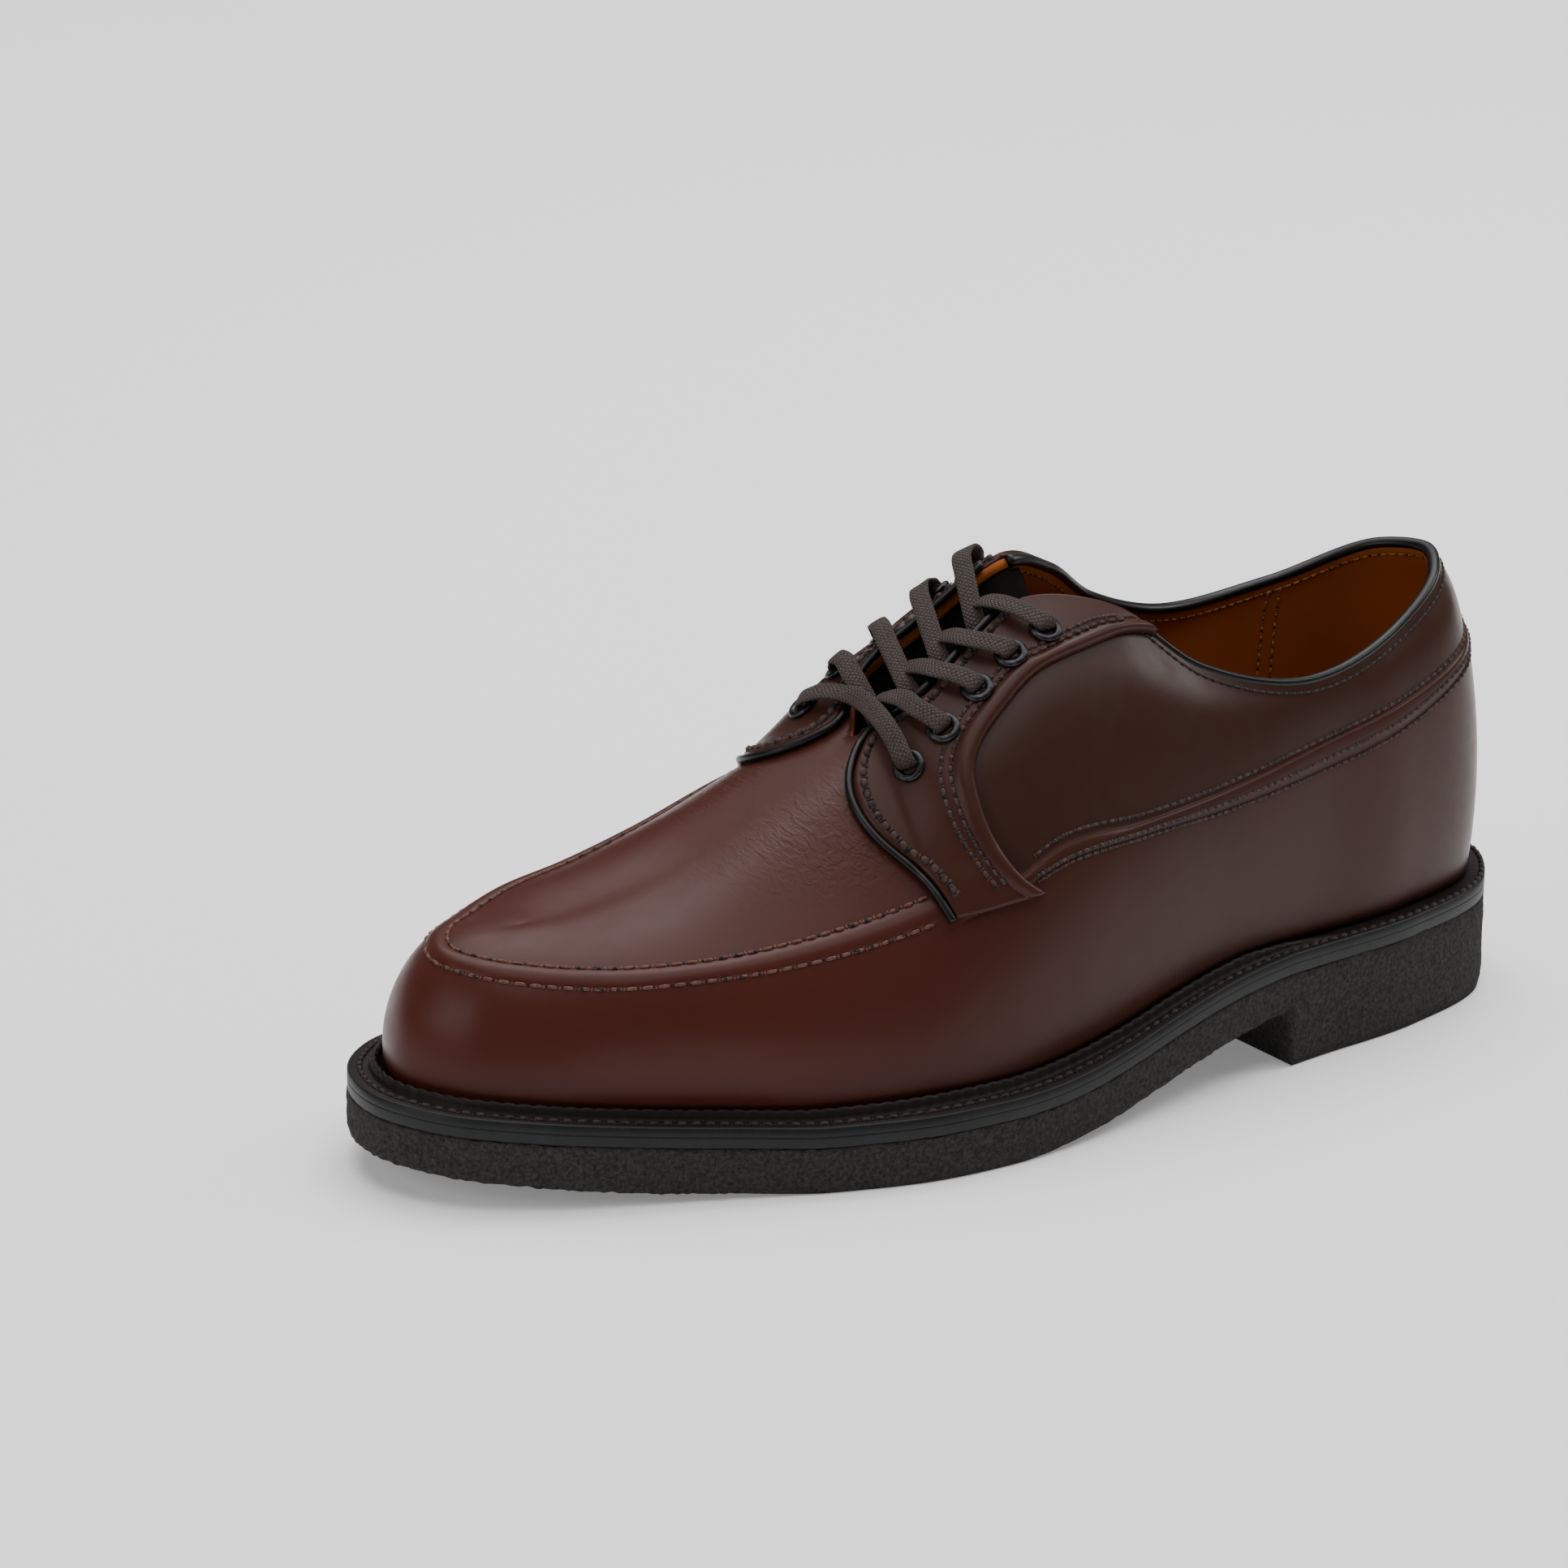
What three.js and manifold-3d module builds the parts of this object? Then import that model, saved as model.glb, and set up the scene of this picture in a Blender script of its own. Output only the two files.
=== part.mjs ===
// Apron toe derby, left shoe, as separate solids. Millimetres, +Z up.
// x is across the shoe, lateral side positive. y runs from the toe (-) to the heel (+).
// The origin is on the floor under the middle of the sole.
import * as THREE from 'three';
import Module from 'manifold-3d';
import { mergeVertices } from 'three/addons/utils/BufferGeometryUtils.js';

const wasm = await Module();
wasm.setup();

// Driving dimensions
const SHOE_LENGTH = 304;        // outsole, heel back to toe
const BALL_WIDTH = 111.6;       // outsole, across the ball
const INSTEP_RISE = 90;         // height unit of the last above the welt
const HEEL_LIFT = 14;           // ground to the underside of the shank at the heel breast
const SOLE_STACK = 15.6;        // forepart: crepe, midsole and welt together
const TOE_SPRING = 7.6;
const WELT_THICKNESS = 2.2;
const MIDSOLE_THICKNESS = 2.8;
const MIDSOLE_INSET = 0.4;      // the midsole is trimmed this much inside the crepe
const WELT_LEDGE = 9;           // widest visible ledge of the welt
const WELT_SEAT = 9;            // how far the welt reaches in under the upper
const BEAD_WIDTH = 2;
const BEAD_HEIGHT = 2.6;
const BEAD_CHAMFER = 0.4;
const BEAD_TO_UPPER = 1.5;
const HEEL_BREAST = 84;         // from the heel back
const BREAST_SLOPE = 1.6;
const HEEL_BEVEL_LENGTH = 7;
const HEEL_BEVEL_RISE = 3;
const UPPER_WALL = 2.2;
const INSOLE_THICKNESS = 3;
const INSOLE_CLEARANCE = 1.2;   // from the upper's inner face
const APRON_BAND = 0.9;         // how far the apron's raised seam stands up
const FOXING_STEP = 0.8;        // lower rear panel laps over the quarter
const FACING_THICKNESS = 1.4;
const TONGUE_THICKNESS = 2.4;
const TONGUE_DROP = 0.4;        // extra room between the tongue and the wall over it
const TONGUE_WRAP = 0.62;       // share of the rib that the tongue spans under each facing
const COLLAR_BINDING = 2.4;
const FACING_BINDING = 1.7;
const EYELET_OUTER = 7.8;
const EYELET_INNER = 4.2;
const EYELET_HEIGHT = 0.9;
const LACE_WIDTH = 5;
const LACE_THICKNESS = 1.3;
const GAP = 0.3;                // between touching pieces
const RIM_CLEARANCE = 0.6;      // between a round binding and the faceted rim under it
const RIBS_PER_SPAN = 3;

// Sections of the last, going round from the heel back along the lateral side to the toe and
// home along the medial side. Across values are shares of half the ball width, along values are
// shares of the length from the heel back, rises are shares of the instep rise above the welt,
// and the ledge is a share of the welt's widest ledge.
const COLUMNS = ['name', 'soleAcross', 'soleAlong', 'ledge',
  'seamAcross', 'seamAlong', 'seamRise', 'topAcross', 'topAlong', 'topRise'];
const SECTIONS = [
  ['heel_back', 0, 0, 0.5, 0, 0.026, 0.625, 0, 0.051, 0.854],
  ['heel_corner_outer', 0.375, 0.039, 0.56, 0.287, 0.053, 0.604, 0.197, 0.071, 0.832],
  ['heel_side_outer', 0.611, 0.138, 0.64, 0.484, 0.141, 0.561, 0.385, 0.141, 0.728],
  ['seat_outer', 0.708, 0.247, 0.72, 0.573, 0.243, 0.509, 0.502, 0.25, 0.672],
  ['waist_outer', 0.806, 0.345, 0.83, 0.654, 0.342, 0.488, 0.43, 0.332, 0.762],
  ['shank_outer', 0.905, 0.428, 0.89, 0.726, 0.421, 0.514, 0.251, 0.401, 0.972],
  ['joint_outer', 0.989, 0.503, 1, 0.78, 0.503, 0.534, 0.134, 0.464, 1.04],
  ['facing_outer', 1.025, 0.553, 1, 0.78, 0.549, 0.503, 0.161, 0.516, 0.973],
  ['tab_outer', 1.036, 0.595, 1, 0.753, 0.586, 0.461, 0.188, 0.566, 0.871],
  ['ball_outer', 1.022, 0.641, 1, 0.713, 0.615, 0.428, -0.018, 0.595, 0.784],
  ['ball_front_outer', 0.914, 0.717, 0.89, 0.645, 0.711, 0.378, -0.036, 0.684, 0.627],
  ['forepart_outer', 0.753, 0.789, 0.89, 0.538, 0.791, 0.346, -0.054, 0.757, 0.505],
  ['toe_side_outer', 0.606, 0.859, 0.89, 0.385, 0.855, 0.318, -0.081, 0.812, 0.44],
  ['toe_corner_outer', 0.439, 0.924, 0.89, 0.215, 0.893, 0.305, -0.108, 0.845, 0.408],
  ['toe_front_outer', 0.197, 0.977, 0.94, 0.036, 0.928, 0.308, -0.125, 0.863, 0.396],
  ['toe_tip', -0.12, 1, 0.94, -0.161, 0.942, 0.315, -0.134, 0.868, 0.392],
  ['toe_front_inner', -0.43, 0.987, 0.94, -0.341, 0.929, 0.326, -0.125, 0.863, 0.396],
  ['toe_corner_inner', -0.686, 0.944, 0.89, -0.502, 0.888, 0.344, -0.108, 0.845, 0.408],
  ['toe_side_inner', -0.851, 0.875, 0.83, -0.6, 0.839, 0.382, -0.081, 0.812, 0.44],
  ['forepart_inner', -0.941, 0.799, 0.78, -0.618, 0.783, 0.426, -0.054, 0.757, 0.505],
  ['ball_front_inner', -0.961, 0.724, 0.72, -0.618, 0.72, 0.489, -0.036, 0.684, 0.627],
  ['ball_inner', -0.887, 0.632, 0.67, -0.618, 0.638, 0.572, -0.018, 0.595, 0.784],
  ['tab_inner', -0.815, 0.579, 0.67, -0.618, 0.586, 0.606, -0.215, 0.566, 0.877],
  ['facing_inner', -0.726, 0.526, 0.67, -0.618, 0.536, 0.617, -0.188, 0.516, 0.979],
  ['joint_inner', -0.636, 0.47, 0.61, -0.6, 0.484, 0.607, -0.152, 0.441, 1.085],
  ['shank_inner', -0.547, 0.411, 0.56, -0.565, 0.411, 0.568, -0.269, 0.385, 0.978],
  ['waist_inner', -0.502, 0.345, 0.56, -0.547, 0.339, 0.537, -0.412, 0.326, 0.815],
  ['seat_inner', -0.547, 0.257, 0.56, -0.547, 0.25, 0.533, -0.484, 0.253, 0.717],
  ['heel_side_inner', -0.618, 0.148, 0.61, -0.511, 0.145, 0.578, -0.484, 0.141, 0.733],
  ['heel_corner_inner', -0.466, 0.036, 0.56, -0.305, 0.053, 0.615, -0.233, 0.064, 0.838],
].map((row) => Object.fromEntries(COLUMNS.map((key, i) => [key, row[i]])));
const COUNT = SECTIONS.length;
const THROAT = SECTIONS.findIndex((s) => s.name === 'ball_outer');
const TOE = SECTIONS.findIndex((s) => s.name === 'toe_tip');

// Side view of the sole: place along, underside (share of the heel lift and of the toe spring)
// and thickness (share of the stack).
const SOLE_LINE = [
  [0, 1, 0, 0.885], [0.132, 1, 0, 0.865], [0.276, 1, 0, 0.88], [0.329, 0.87, 0, 0.92],
  [0.395, 0.61, 0, 0.95], [0.461, 0.3, 0, 0.955], [0.52, 0.09, 0, 0.97], [0.566, 0, 0, 1],
  [0.658, 0, 0, 1], [0.73, 0, 0, 1], [0.789, 0, 0.16, 1], [0.855, 0, 0.39, 1],
  [0.921, 0, 0.68, 0.98], [1, 0, 1, 0.93],
];

// The facing: pairs of points (section, rib share) on its front edge and its rear edge, from the
// collar down to the tab. A rib runs from the welt (0) over the seam (1) to the top (2).
const FACING = [
  [6.05, 2, 4.5, 2], [6.5, 2, 5.1, 1.79], [7.1, 2, 5.7, 1.65], [7.7, 2, 6.4, 1.585],
  [8.35, 1.98, 7, 1.53], [8.9, 1.9, 7.35, 1.47], [9.22, 1.75, 7.5, 1.38], [9.3, 1.57, 7.5, 1.27],
  [9.22, 1.38, 7.42, 1.17], [9, 1.21, 7.2, 1.07], [8.65, 1.08, 6.9, 1], [8.41, 0.96, 6.5, 0.88],
];
const EYELETS = [[8.55, 1.62], [7.75, 1.74], [7.05, 1.76], [6.4, 1.77], [5.85, 1.81]];

const lerp = (a, b, f) => a + (b - a) * f;
const clamp01 = (f) => Math.min(1, Math.max(0, f));

// A smooth curve through rows of numbers. Tangents are weighted by the spacing of the rows.
function smoothCurve(rows, closed, spacing = null, corners = []) {
  const last = rows.length - 1;
  const at = (k) => (closed ? (k + rows.length) % rows.length : Math.min(last, Math.max(0, k)));
  const span = spacing
    || ((k) => Math.hypot(...rows[at(k)].map((v, i) => rows[at(k + 1)][i] - v)));
  const slope = (k, i) => (rows[at(k + 1)][i] - rows[at(k)][i]) / span(k);
  const tangent = (k, i, side) => {
    if (!closed && (k === 0 || k === last)) return slope(k === 0 ? 0 : last - 1, i);
    if (corners.includes(at(k))) return slope(side > 0 ? k : k - 1, i);
    const before = span(k - 1);
    const after = span(k);
    return (slope(k - 1, i) * after + slope(k, i) * before) / (before + after);
  };
  return (place) => {
    const wrapped = closed ? (place + rows.length) % rows.length : place;
    const k = closed ? Math.floor(wrapped) % rows.length : Math.min(last - 1, Math.floor(wrapped));
    const f = wrapped - Math.floor(wrapped) + (closed ? 0 : Math.floor(wrapped) - k);
    const h = span(k);
    return rows[k].map((v, i) => hermite(f, v, rows[at(k + 1)][i],
      tangent(k, i, 1) * h, tangent(k + 1, i, -1) * h));
  };
}

function hermite(f, a, b, ta, tb) {
  const f2 = f * f;
  const f3 = f2 * f;
  return (2 * f3 - 3 * f2 + 1) * a + (f3 - 2 * f2 + f) * ta + (3 * f2 - 2 * f3) * b + (f3 - f2) * tb;
}

// Sole heights at a distance from the heel back
const soleKnots = SOLE_LINE.map((row) => row[0]);
const soleCurve = smoothCurve(SOLE_LINE.map((row) => row.slice(1)), false,
  (k) => soleKnots[k + 1] - soleKnots[k]);
function soleRow(t) {
  const share = clamp01(t / SHOE_LENGTH);
  let k = soleKnots.findIndex((knot) => knot > share) - 1;
  if (k < 0) k = soleKnots.length - 2;
  return soleCurve(k + (share - soleKnots[k]) / (soleKnots[k + 1] - soleKnots[k]));
}
function soleUnder(t) {
  const [lift, spring] = soleRow(t);
  return clamp01(lift) * HEEL_LIFT + clamp01(spring) * TOE_SPRING;
}
const weltTop = (t) => soleUnder(t) + soleRow(t)[2] * SOLE_STACK;

// Rails of the last in the plan: [across, distance from the heel back]
const half = BALL_WIDTH / 2;
const outlineRail = smoothCurve(
  SECTIONS.map((s) => [s.soleAcross * half, s.soleAlong * SHOE_LENGTH]), true);
const evenly = () => 1;
const ledgeRail = smoothCurve(SECTIONS.map((s) => [s.ledge * WELT_LEDGE]), true, evenly);
const riseTo = (t, rise) => weltTop(t) + rise * INSTEP_RISE;
const seamRail = smoothCurve(SECTIONS.map((s) => [s.seamAcross * half, s.seamAlong * SHOE_LENGTH,
  riseTo(s.seamAlong * SHOE_LENGTH, s.seamRise)]), true);
const topRail = smoothCurve(SECTIONS.map((s) => [s.topAcross * half, s.topAlong * SHOE_LENGTH,
  riseTo(s.topAlong * SHOE_LENGTH, s.topRise)]), true, null, [THROAT, COUNT - THROAT]);

// The sole's middle lies a little to the lateral side of the line through the heel
const acrossSamples = Array.from({ length: COUNT * 8 }, (_, i) => outlineRail(i / 8)[0]);
const soleMiddle = (Math.max(...acrossSamples) + Math.min(...acrossSamples)) / 2;
const place = ([x, t, z]) => new THREE.Vector3(x - soleMiddle, SHOE_LENGTH / 2 - t, z);

// A point of the sole's outline, moved in from the edge, as [across, distance from the heel back]
function outlineAt(u, inset = 0) {
  const e = 0.02;
  const [x, t] = outlineRail(u);
  const [xa, ta] = outlineRail(u - e);
  const [xb, tb] = outlineRail(u + e);
  const size = Math.hypot(xb - xa, tb - ta);
  return [x - inset * (tb - ta) / size, t + inset * (xb - xa) / size];
}

// How far a section belongs to the closed forepart (1) or to the open rear (0)
const foreShare = (u) => clamp01(u - THROAT + 1) * clamp01(COUNT - THROAT + 1 - u);

// The outer surface of the upper without its seams. u counts sections, v climbs the rib.
const SEAM_CREASE = 0.6;
function lastPoint(u, v) {
  const foot2 = outlineAt(u, ledgeRail(u)[0]);
  const foot = place([...foot2, weltTop(foot2[1]) + GAP]);
  const seam = place(seamRail(u));
  const topU = u > TOE && u <= COUNT - THROAT ? COUNT - u : u;
  const top = place(topRail(topU));
  const low = seam.clone().sub(foot);
  const high = top.clone().sub(seam);
  const lowLength = low.length();
  const highLength = high.length();
  low.normalize();
  high.normalize();
  const fore = foreShare(u);
  const mid = low.clone().add(high).normalize();
  const mirror = (d) => d.clone().multiplyScalar(2 * d.dot(mid)).sub(mid).normalize();
  if (v <= 1) {
    return mixPoint(v, foot, seam, mirror(low).multiplyScalar(lowLength),
      mid.multiplyScalar(lowLength));
  }
  const leave = low.clone().multiplyScalar(1 - SEAM_CREASE * fore).add(high);
  const arrive = mirror(high);
  const level = arrive.clone().setZ(0).normalize();
  arrive.lerp(level, fore).normalize();
  return mixPoint(v - 1, seam, top, leave.multiplyScalar(highLength),
    arrive.multiplyScalar(highLength));
}
function mixPoint(f, a, b, ta, tb) {
  return new THREE.Vector3(hermite(f, a.x, b.x, ta.x, tb.x), hermite(f, a.y, b.y, ta.y, tb.y),
    hermite(f, a.z, b.z, ta.z, tb.z));
}
function lastNormal(u, v) {
  const e = 0.03;
  const vv = Math.min(v, 1.95);
  const du = lastPoint((u + e) % COUNT, vv).sub(lastPoint((u - e + COUNT) % COUNT, vv));
  const dv = lastPoint(u, Math.min(2, vv + e)).sub(lastPoint(u, Math.max(0, vv - e)));
  return dv.cross(du).normalize();
}
const lifted = (u, v, lift) => lastPoint(u, v).addScaledVector(lastNormal(u, v), lift);

// Raised seam round the apron, and the lower rear panel lapping over the quarter
function relief(u, v) {
  const fore = foreShare(u);
  const band = v >= 1 && v <= 1.1 ? APRON_BAND : 0;
  const lap = v < 1 ? FOXING_STEP : 0;
  return fore * band + (1 - fore) * lap;
}

// One closed solid from rings of points: each ring has the same count, rings follow each other
function ringSolid(rings, closedRings) {
  const points = [];
  const triangles = [];
  const size = rings[0].length;
  rings.flat().forEach((p) => points.push(p.x, p.y, p.z));
  const id = (r, k) => ((r + rings.length) % rings.length) * size + ((k + size) % size);
  const quad = (a, b, c, d) => triangles.push(a, b, c, a, c, d);
  for (let r = 0; r < rings.length - (closedRings ? 0 : 1); r += 1) {
    for (let k = 0; k < size; k += 1) quad(id(r, k), id(r + 1, k), id(r + 1, k + 1), id(r, k + 1));
  }
  if (!closedRings) {
    for (let k = 1; k < size - 1; k += 1) {
      triangles.push(id(0, 0), id(0, k), id(0, k + 1));
      triangles.push(id(-1, 0), id(-1, k + 1), id(-1, k));
    }
  }
  return geometryFrom(points, triangles);
}
function geometryFrom(points, triangles) {
  const geometry = new THREE.BufferGeometry();
  geometry.setAttribute('position', new THREE.Float32BufferAttribute(points, 3));
  geometry.setIndex(triangles);
  return outward(mergeVertices(geometry, 1e-3));
}
// Drops triangles that merging made flat, and turns the shell so that its faces point out
function outward(geometry) {
  const p = geometry.attributes.position.array;
  const index = [...geometry.index.array];
  const kept = [];
  let volume = 0;
  for (let i = 0; i < index.length; i += 3) {
    const [a, b, c] = index.slice(i, i + 3);
    if (a === b || b === c || a === c) continue;
    kept.push(a, b, c);
    const va = new THREE.Vector3().fromArray(p, a * 3);
    const vb = new THREE.Vector3().fromArray(p, b * 3);
    volume += va.dot(vb.cross(new THREE.Vector3().fromArray(p, c * 3)));
  }
  if (volume < 0) kept.reverse();
  geometry.setIndex(kept);
  return geometry;
}

const toSolid = (geometry) => new wasm.Manifold(new wasm.Mesh({
  numProp: 3,
  vertProperties: new Float32Array(geometry.attributes.position.array),
  triVerts: new Uint32Array(geometry.index.array),
}));
function fromSolid(solid) {
  const mesh = solid.getMesh();
  return geometryFrom([...mesh.vertProperties], [...mesh.triVerts]);
}

const finish = (color, roughness, metalness = 0) =>
  new THREE.MeshStandardMaterial({ color, roughness, metalness });
const leather = finish(0x43221d, 0.42);
const facingLeather = finish(0x3d2620, 0.5);
const bindingLeather = finish(0x1f1715, 0.35);
const liningLeather = finish(0xa3622a, 0.7);
const soleEdge = finish(0x34373a, 0.5);
const weltLeather = finish(0x2b1c18, 0.6);
const crepe = finish(0x2f2b29, 0.95);
const gunmetal = finish(0x26262a, 0.35, 0.9);
const laceCord = finish(0x5d4a42, 0.8);

const shoe = new THREE.Group();
shoe.name = 'apron_toe_derby';
function piece(name, geometry, material) {
  const mesh = new THREE.Mesh(geometry, material);
  mesh.name = name;
  shoe.add(mesh);
}

// Flat layers of the sole: the outline is cut into rows along the length, each with a lateral and
// a medial edge point, and each row has its own lower and upper height.
const OUTLINE_STEPS = COUNT * 6;
function edgeLoop(inset) {
  return Array.from({ length: OUTLINE_STEPS }, (_, i) => {
    const u = i * COUNT / OUTLINE_STEPS;
    return outlineAt(u, typeof inset === 'function' ? inset(u) : inset);
  });
}
function acrossAt(loop, t, lateral) {
  let best = null;
  for (let i = 0; i < loop.length; i += 1) {
    const [xa, ta] = loop[i];
    const [xb, tb] = loop[(i + 1) % loop.length];
    if (ta === tb || (t - ta) * (t - tb) > 0) continue;
    const x = lerp(xa, xb, (t - ta) / (tb - ta));
    if (best === null || (lateral ? x > best : x < best)) best = x;
  }
  return best;
}
const ROWS = 34;
function layer(inset, under, over, extraRows = []) {
  const loop = edgeLoop(inset);
  const along = loop.map((p) => p[1]);
  const first = Math.min(...along);
  const last = Math.max(...along);
  const rows = Array.from({ length: ROWS + 1 },
    (_, i) => lerp(first, last, (1 - Math.cos(Math.PI * i / ROWS)) / 2));
  const all = [...rows.filter((t) => extraRows.every((e) => Math.abs(e - t) > 1)), ...extraRows]
    .sort((a, b) => a - b);
  const endX = (t) => loop[along.indexOf(t)][0];
  const rings = all.map((t) => {
    const end = t === first || t === last;
    const right = end ? endX(t) : acrossAt(loop, t, true);
    const left = end ? endX(t) : acrossAt(loop, t, false);
    return [[right, under(t)], [right, over(t)], [left, over(t)], [left, under(t)]]
      .map(([x, z]) => place([x, t, z]));
  });
  return ringSolid(rings, false);
}

const midsoleTop = (t) => weltTop(t) - WELT_THICKNESS;
const crepeTop = (t) => midsoleTop(t) - MIDSOLE_THICKNESS;
const breastHead = HEEL_BREAST + BREAST_SLOPE;
function ground(t) {
  if (t >= breastHead) return soleUnder(t);
  const bevel = clamp01(1 - t / HEEL_BEVEL_LENGTH);
  return HEEL_BEVEL_RISE * bevel * bevel;
}
piece('outsole', layer(0, ground, (t) => crepeTop(t) - GAP,
  [HEEL_BEVEL_LENGTH, HEEL_BREAST, breastHead]), crepe);
piece('midsole', layer(MIDSOLE_INSET, crepeTop, (t) => midsoleTop(t) - GAP), soleEdge);

// The welt is a ring with a bead along the upper from the waist round the toe
const beadShare = (u) => clamp01(u - 2.7) * clamp01(COUNT - 3.7 - u);
function weltRing(u) {
  const ledge = ledgeRail(u)[0];
  const bead = WELT_THICKNESS + BEAD_HEIGHT * beadShare(u);
  const beadIn = ledge - BEAD_TO_UPPER;
  const beadOut = beadIn - BEAD_WIDTH;
  const profile = [[0, 0], [0, WELT_THICKNESS], [beadOut - BEAD_CHAMFER, WELT_THICKNESS],
    [beadOut + BEAD_CHAMFER, bead], [beadIn - BEAD_CHAMFER, bead], [beadIn, WELT_THICKNESS],
    [ledge + WELT_SEAT, WELT_THICKNESS], [ledge + WELT_SEAT, 0]];
  return profile.map(([inset, height]) => {
    const [x, t] = outlineAt(u, inset);
    return place([x, t, midsoleTop(t) + height]);
  });
}
const ribPlaces = Array.from({ length: COUNT * RIBS_PER_SPAN }, (_, i) => i / RIBS_PER_SPAN);
piece('welt', ringSolid(ribPlaces.map(weltRing), true), weltLeather);

const insoleInset = (u) => ledgeRail(u)[0] + UPPER_WALL + INSOLE_CLEARANCE;
piece('insole', layer(insoleInset, (t) => weltTop(t) + GAP,
  (t) => weltTop(t) + GAP + INSOLE_THICKNESS), liningLeather);

// The upper: outer face with its seams, inner face one wall in, rims at the welt and at the top
const OUTER_ROWS = [0, 0.25, 0.5, 0.72, 0.9, 0.985, 1, 1.1, 1.115, 1.35, 1.6, 1.82, 2];
const INNER_ROWS = [2, 1.66, 1.33, 1, 0.66, 0.33, 0];
function upperRing(u) {
  const twin = u > TOE && u <= COUNT - THROAT ? COUNT - u : u;
  const outer = OUTER_ROWS.map((v) => lifted(v === 2 ? twin : u, v, relief(u, v)));
  const inner = INNER_ROWS.map((v) => lifted(v === 2 ? twin : u, v, -UPPER_WALL));
  return [...outer, ...inner];
}
function upperSolid() {
  const rings = ribPlaces.map(upperRing);
  const size = rings[0].length;
  const points = rings.flat().flatMap((p) => [p.x, p.y, p.z]);
  const rim = OUTER_ROWS.length - 1;
  const triangles = [];
  ribPlaces.forEach((u, r) => {
    const next = (r + 1) % rings.length;
    const closed = u >= THROAT && u < COUNT - THROAT;
    for (let k = 0; k < size; k += 1) {
      if (closed && k === rim) continue;
      const k2 = (k + 1) % size;
      const [a, b, c, d] = [r * size + k, next * size + k, next * size + k2, r * size + k2];
      triangles.push(a, b, c, a, c, d);
    }
  });
  return geometryFrom(points, triangles);
}
piece('upper', upperSolid(), leather);

// A sheet that follows the last: a grid of points with a lower and an upper lift
function sheet(grid, low, high) {
  const rows = grid.map((line) => [
    ...line.map(([u, v]) => lifted(u, v, low(u, v))),
    ...[...line].reverse().map(([u, v]) => lifted(u, v, high(u, v))),
  ]);
  return rows;
}
function sheetSolid(rows) {
  const wide = rows[0].length / 2;
  const points = rows.flat().flatMap((p) => [p.x, p.y, p.z]);
  const size = rows[0].length;
  const triangles = [];
  const quad = (a, b, c, d) => triangles.push(a, b, c, a, c, d);
  for (let r = 0; r < rows.length - 1; r += 1) {
    for (let k = 0; k < size; k += 1) {
      const k2 = (k + 1) % size;
      quad(r * size + k, (r + 1) * size + k, (r + 1) * size + k2, r * size + k2);
    }
  }
  const cap = (base, flip) => {
    for (let k = 0; k < wide - 1; k += 1) {
      const [a, b, c, d] = [base + k, base + k + 1, base + size - 2 - k, base + size - 1 - k];
      if (flip) quad(a, b, c, d);
      else quad(d, c, b, a);
    }
  };
  cap(0, true);
  cap((rows.length - 1) * size, false);
  return geometryFrom(points, triangles);
}

const facingLift = (u, v) => Math.max(relief(u, v), relief(u, v - 0.04), relief(u, v + 0.04),
  relief(u, v - 0.09), relief(u, v + 0.09)) + GAP;
const facingCurve = smoothCurve(FACING, false, evenly);
const FACING_STEPS = (FACING.length - 1) * 2;
const FACING_COLUMNS = 6;
const sides = [
  { name: 'outer', at: (u) => u },
  { name: 'inner', at: (u) => COUNT - u },
];
sides.forEach((side) => {
  const grid = Array.from({ length: FACING_STEPS + 1 }, (_, i) => {
    const [uFront, vFront, uRear, vRear] = facingCurve(i / 2);
    return Array.from({ length: FACING_COLUMNS + 1 }, (__, k) => {
      const f = k / FACING_COLUMNS;
      return [side.at(lerp(uFront, uRear, f)), Math.min(2, lerp(vFront, vRear, f))];
    });
  });
  piece(`facing_${side.name}`, sheetSolid(sheet(grid, facingLift,
    (u, v) => facingLift(u, v) + FACING_THICKNESS)), facingLeather);
});

// Rolled bindings: round cords of leather along the collar and along each facing's front edge
function roundCord(points, diameter, steps, segments) {
  const shape = new THREE.Shape(Array.from({ length: segments }, (_, i) => {
    const a = i * 2 * Math.PI / segments;
    return new THREE.Vector2(Math.cos(a) * diameter / 2, Math.sin(a) * diameter / 2);
  }));
  const path = new THREE.CatmullRomCurve3(points, false, 'centripetal');
  const geometry = new THREE.ExtrudeGeometry(shape, { steps, extrudePath: path, bevelEnabled: false });
  geometry.deleteAttribute('normal');
  geometry.deleteAttribute('uv');
  return outward(mergeVertices(geometry, 1e-3));
}
function alongRib(u, v) {
  const e = 0.05;
  return lastPoint(u, v).sub(lastPoint(u, v - e)).normalize();
}
const collarPoints = [];
for (let i = 18; i >= -18; i -= 1) {
  const u = i / RIBS_PER_SPAN;
  const at = (u + COUNT) % COUNT;
  collarPoints.push(lifted(at, 2, -UPPER_WALL / 2)
    .addScaledVector(alongRib(at, 2), COLLAR_BINDING / 2 + RIM_CLEARANCE));
}
piece('collar_binding', roundCord(collarPoints, COLLAR_BINDING, 72, 6), bindingLeather);

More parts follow.
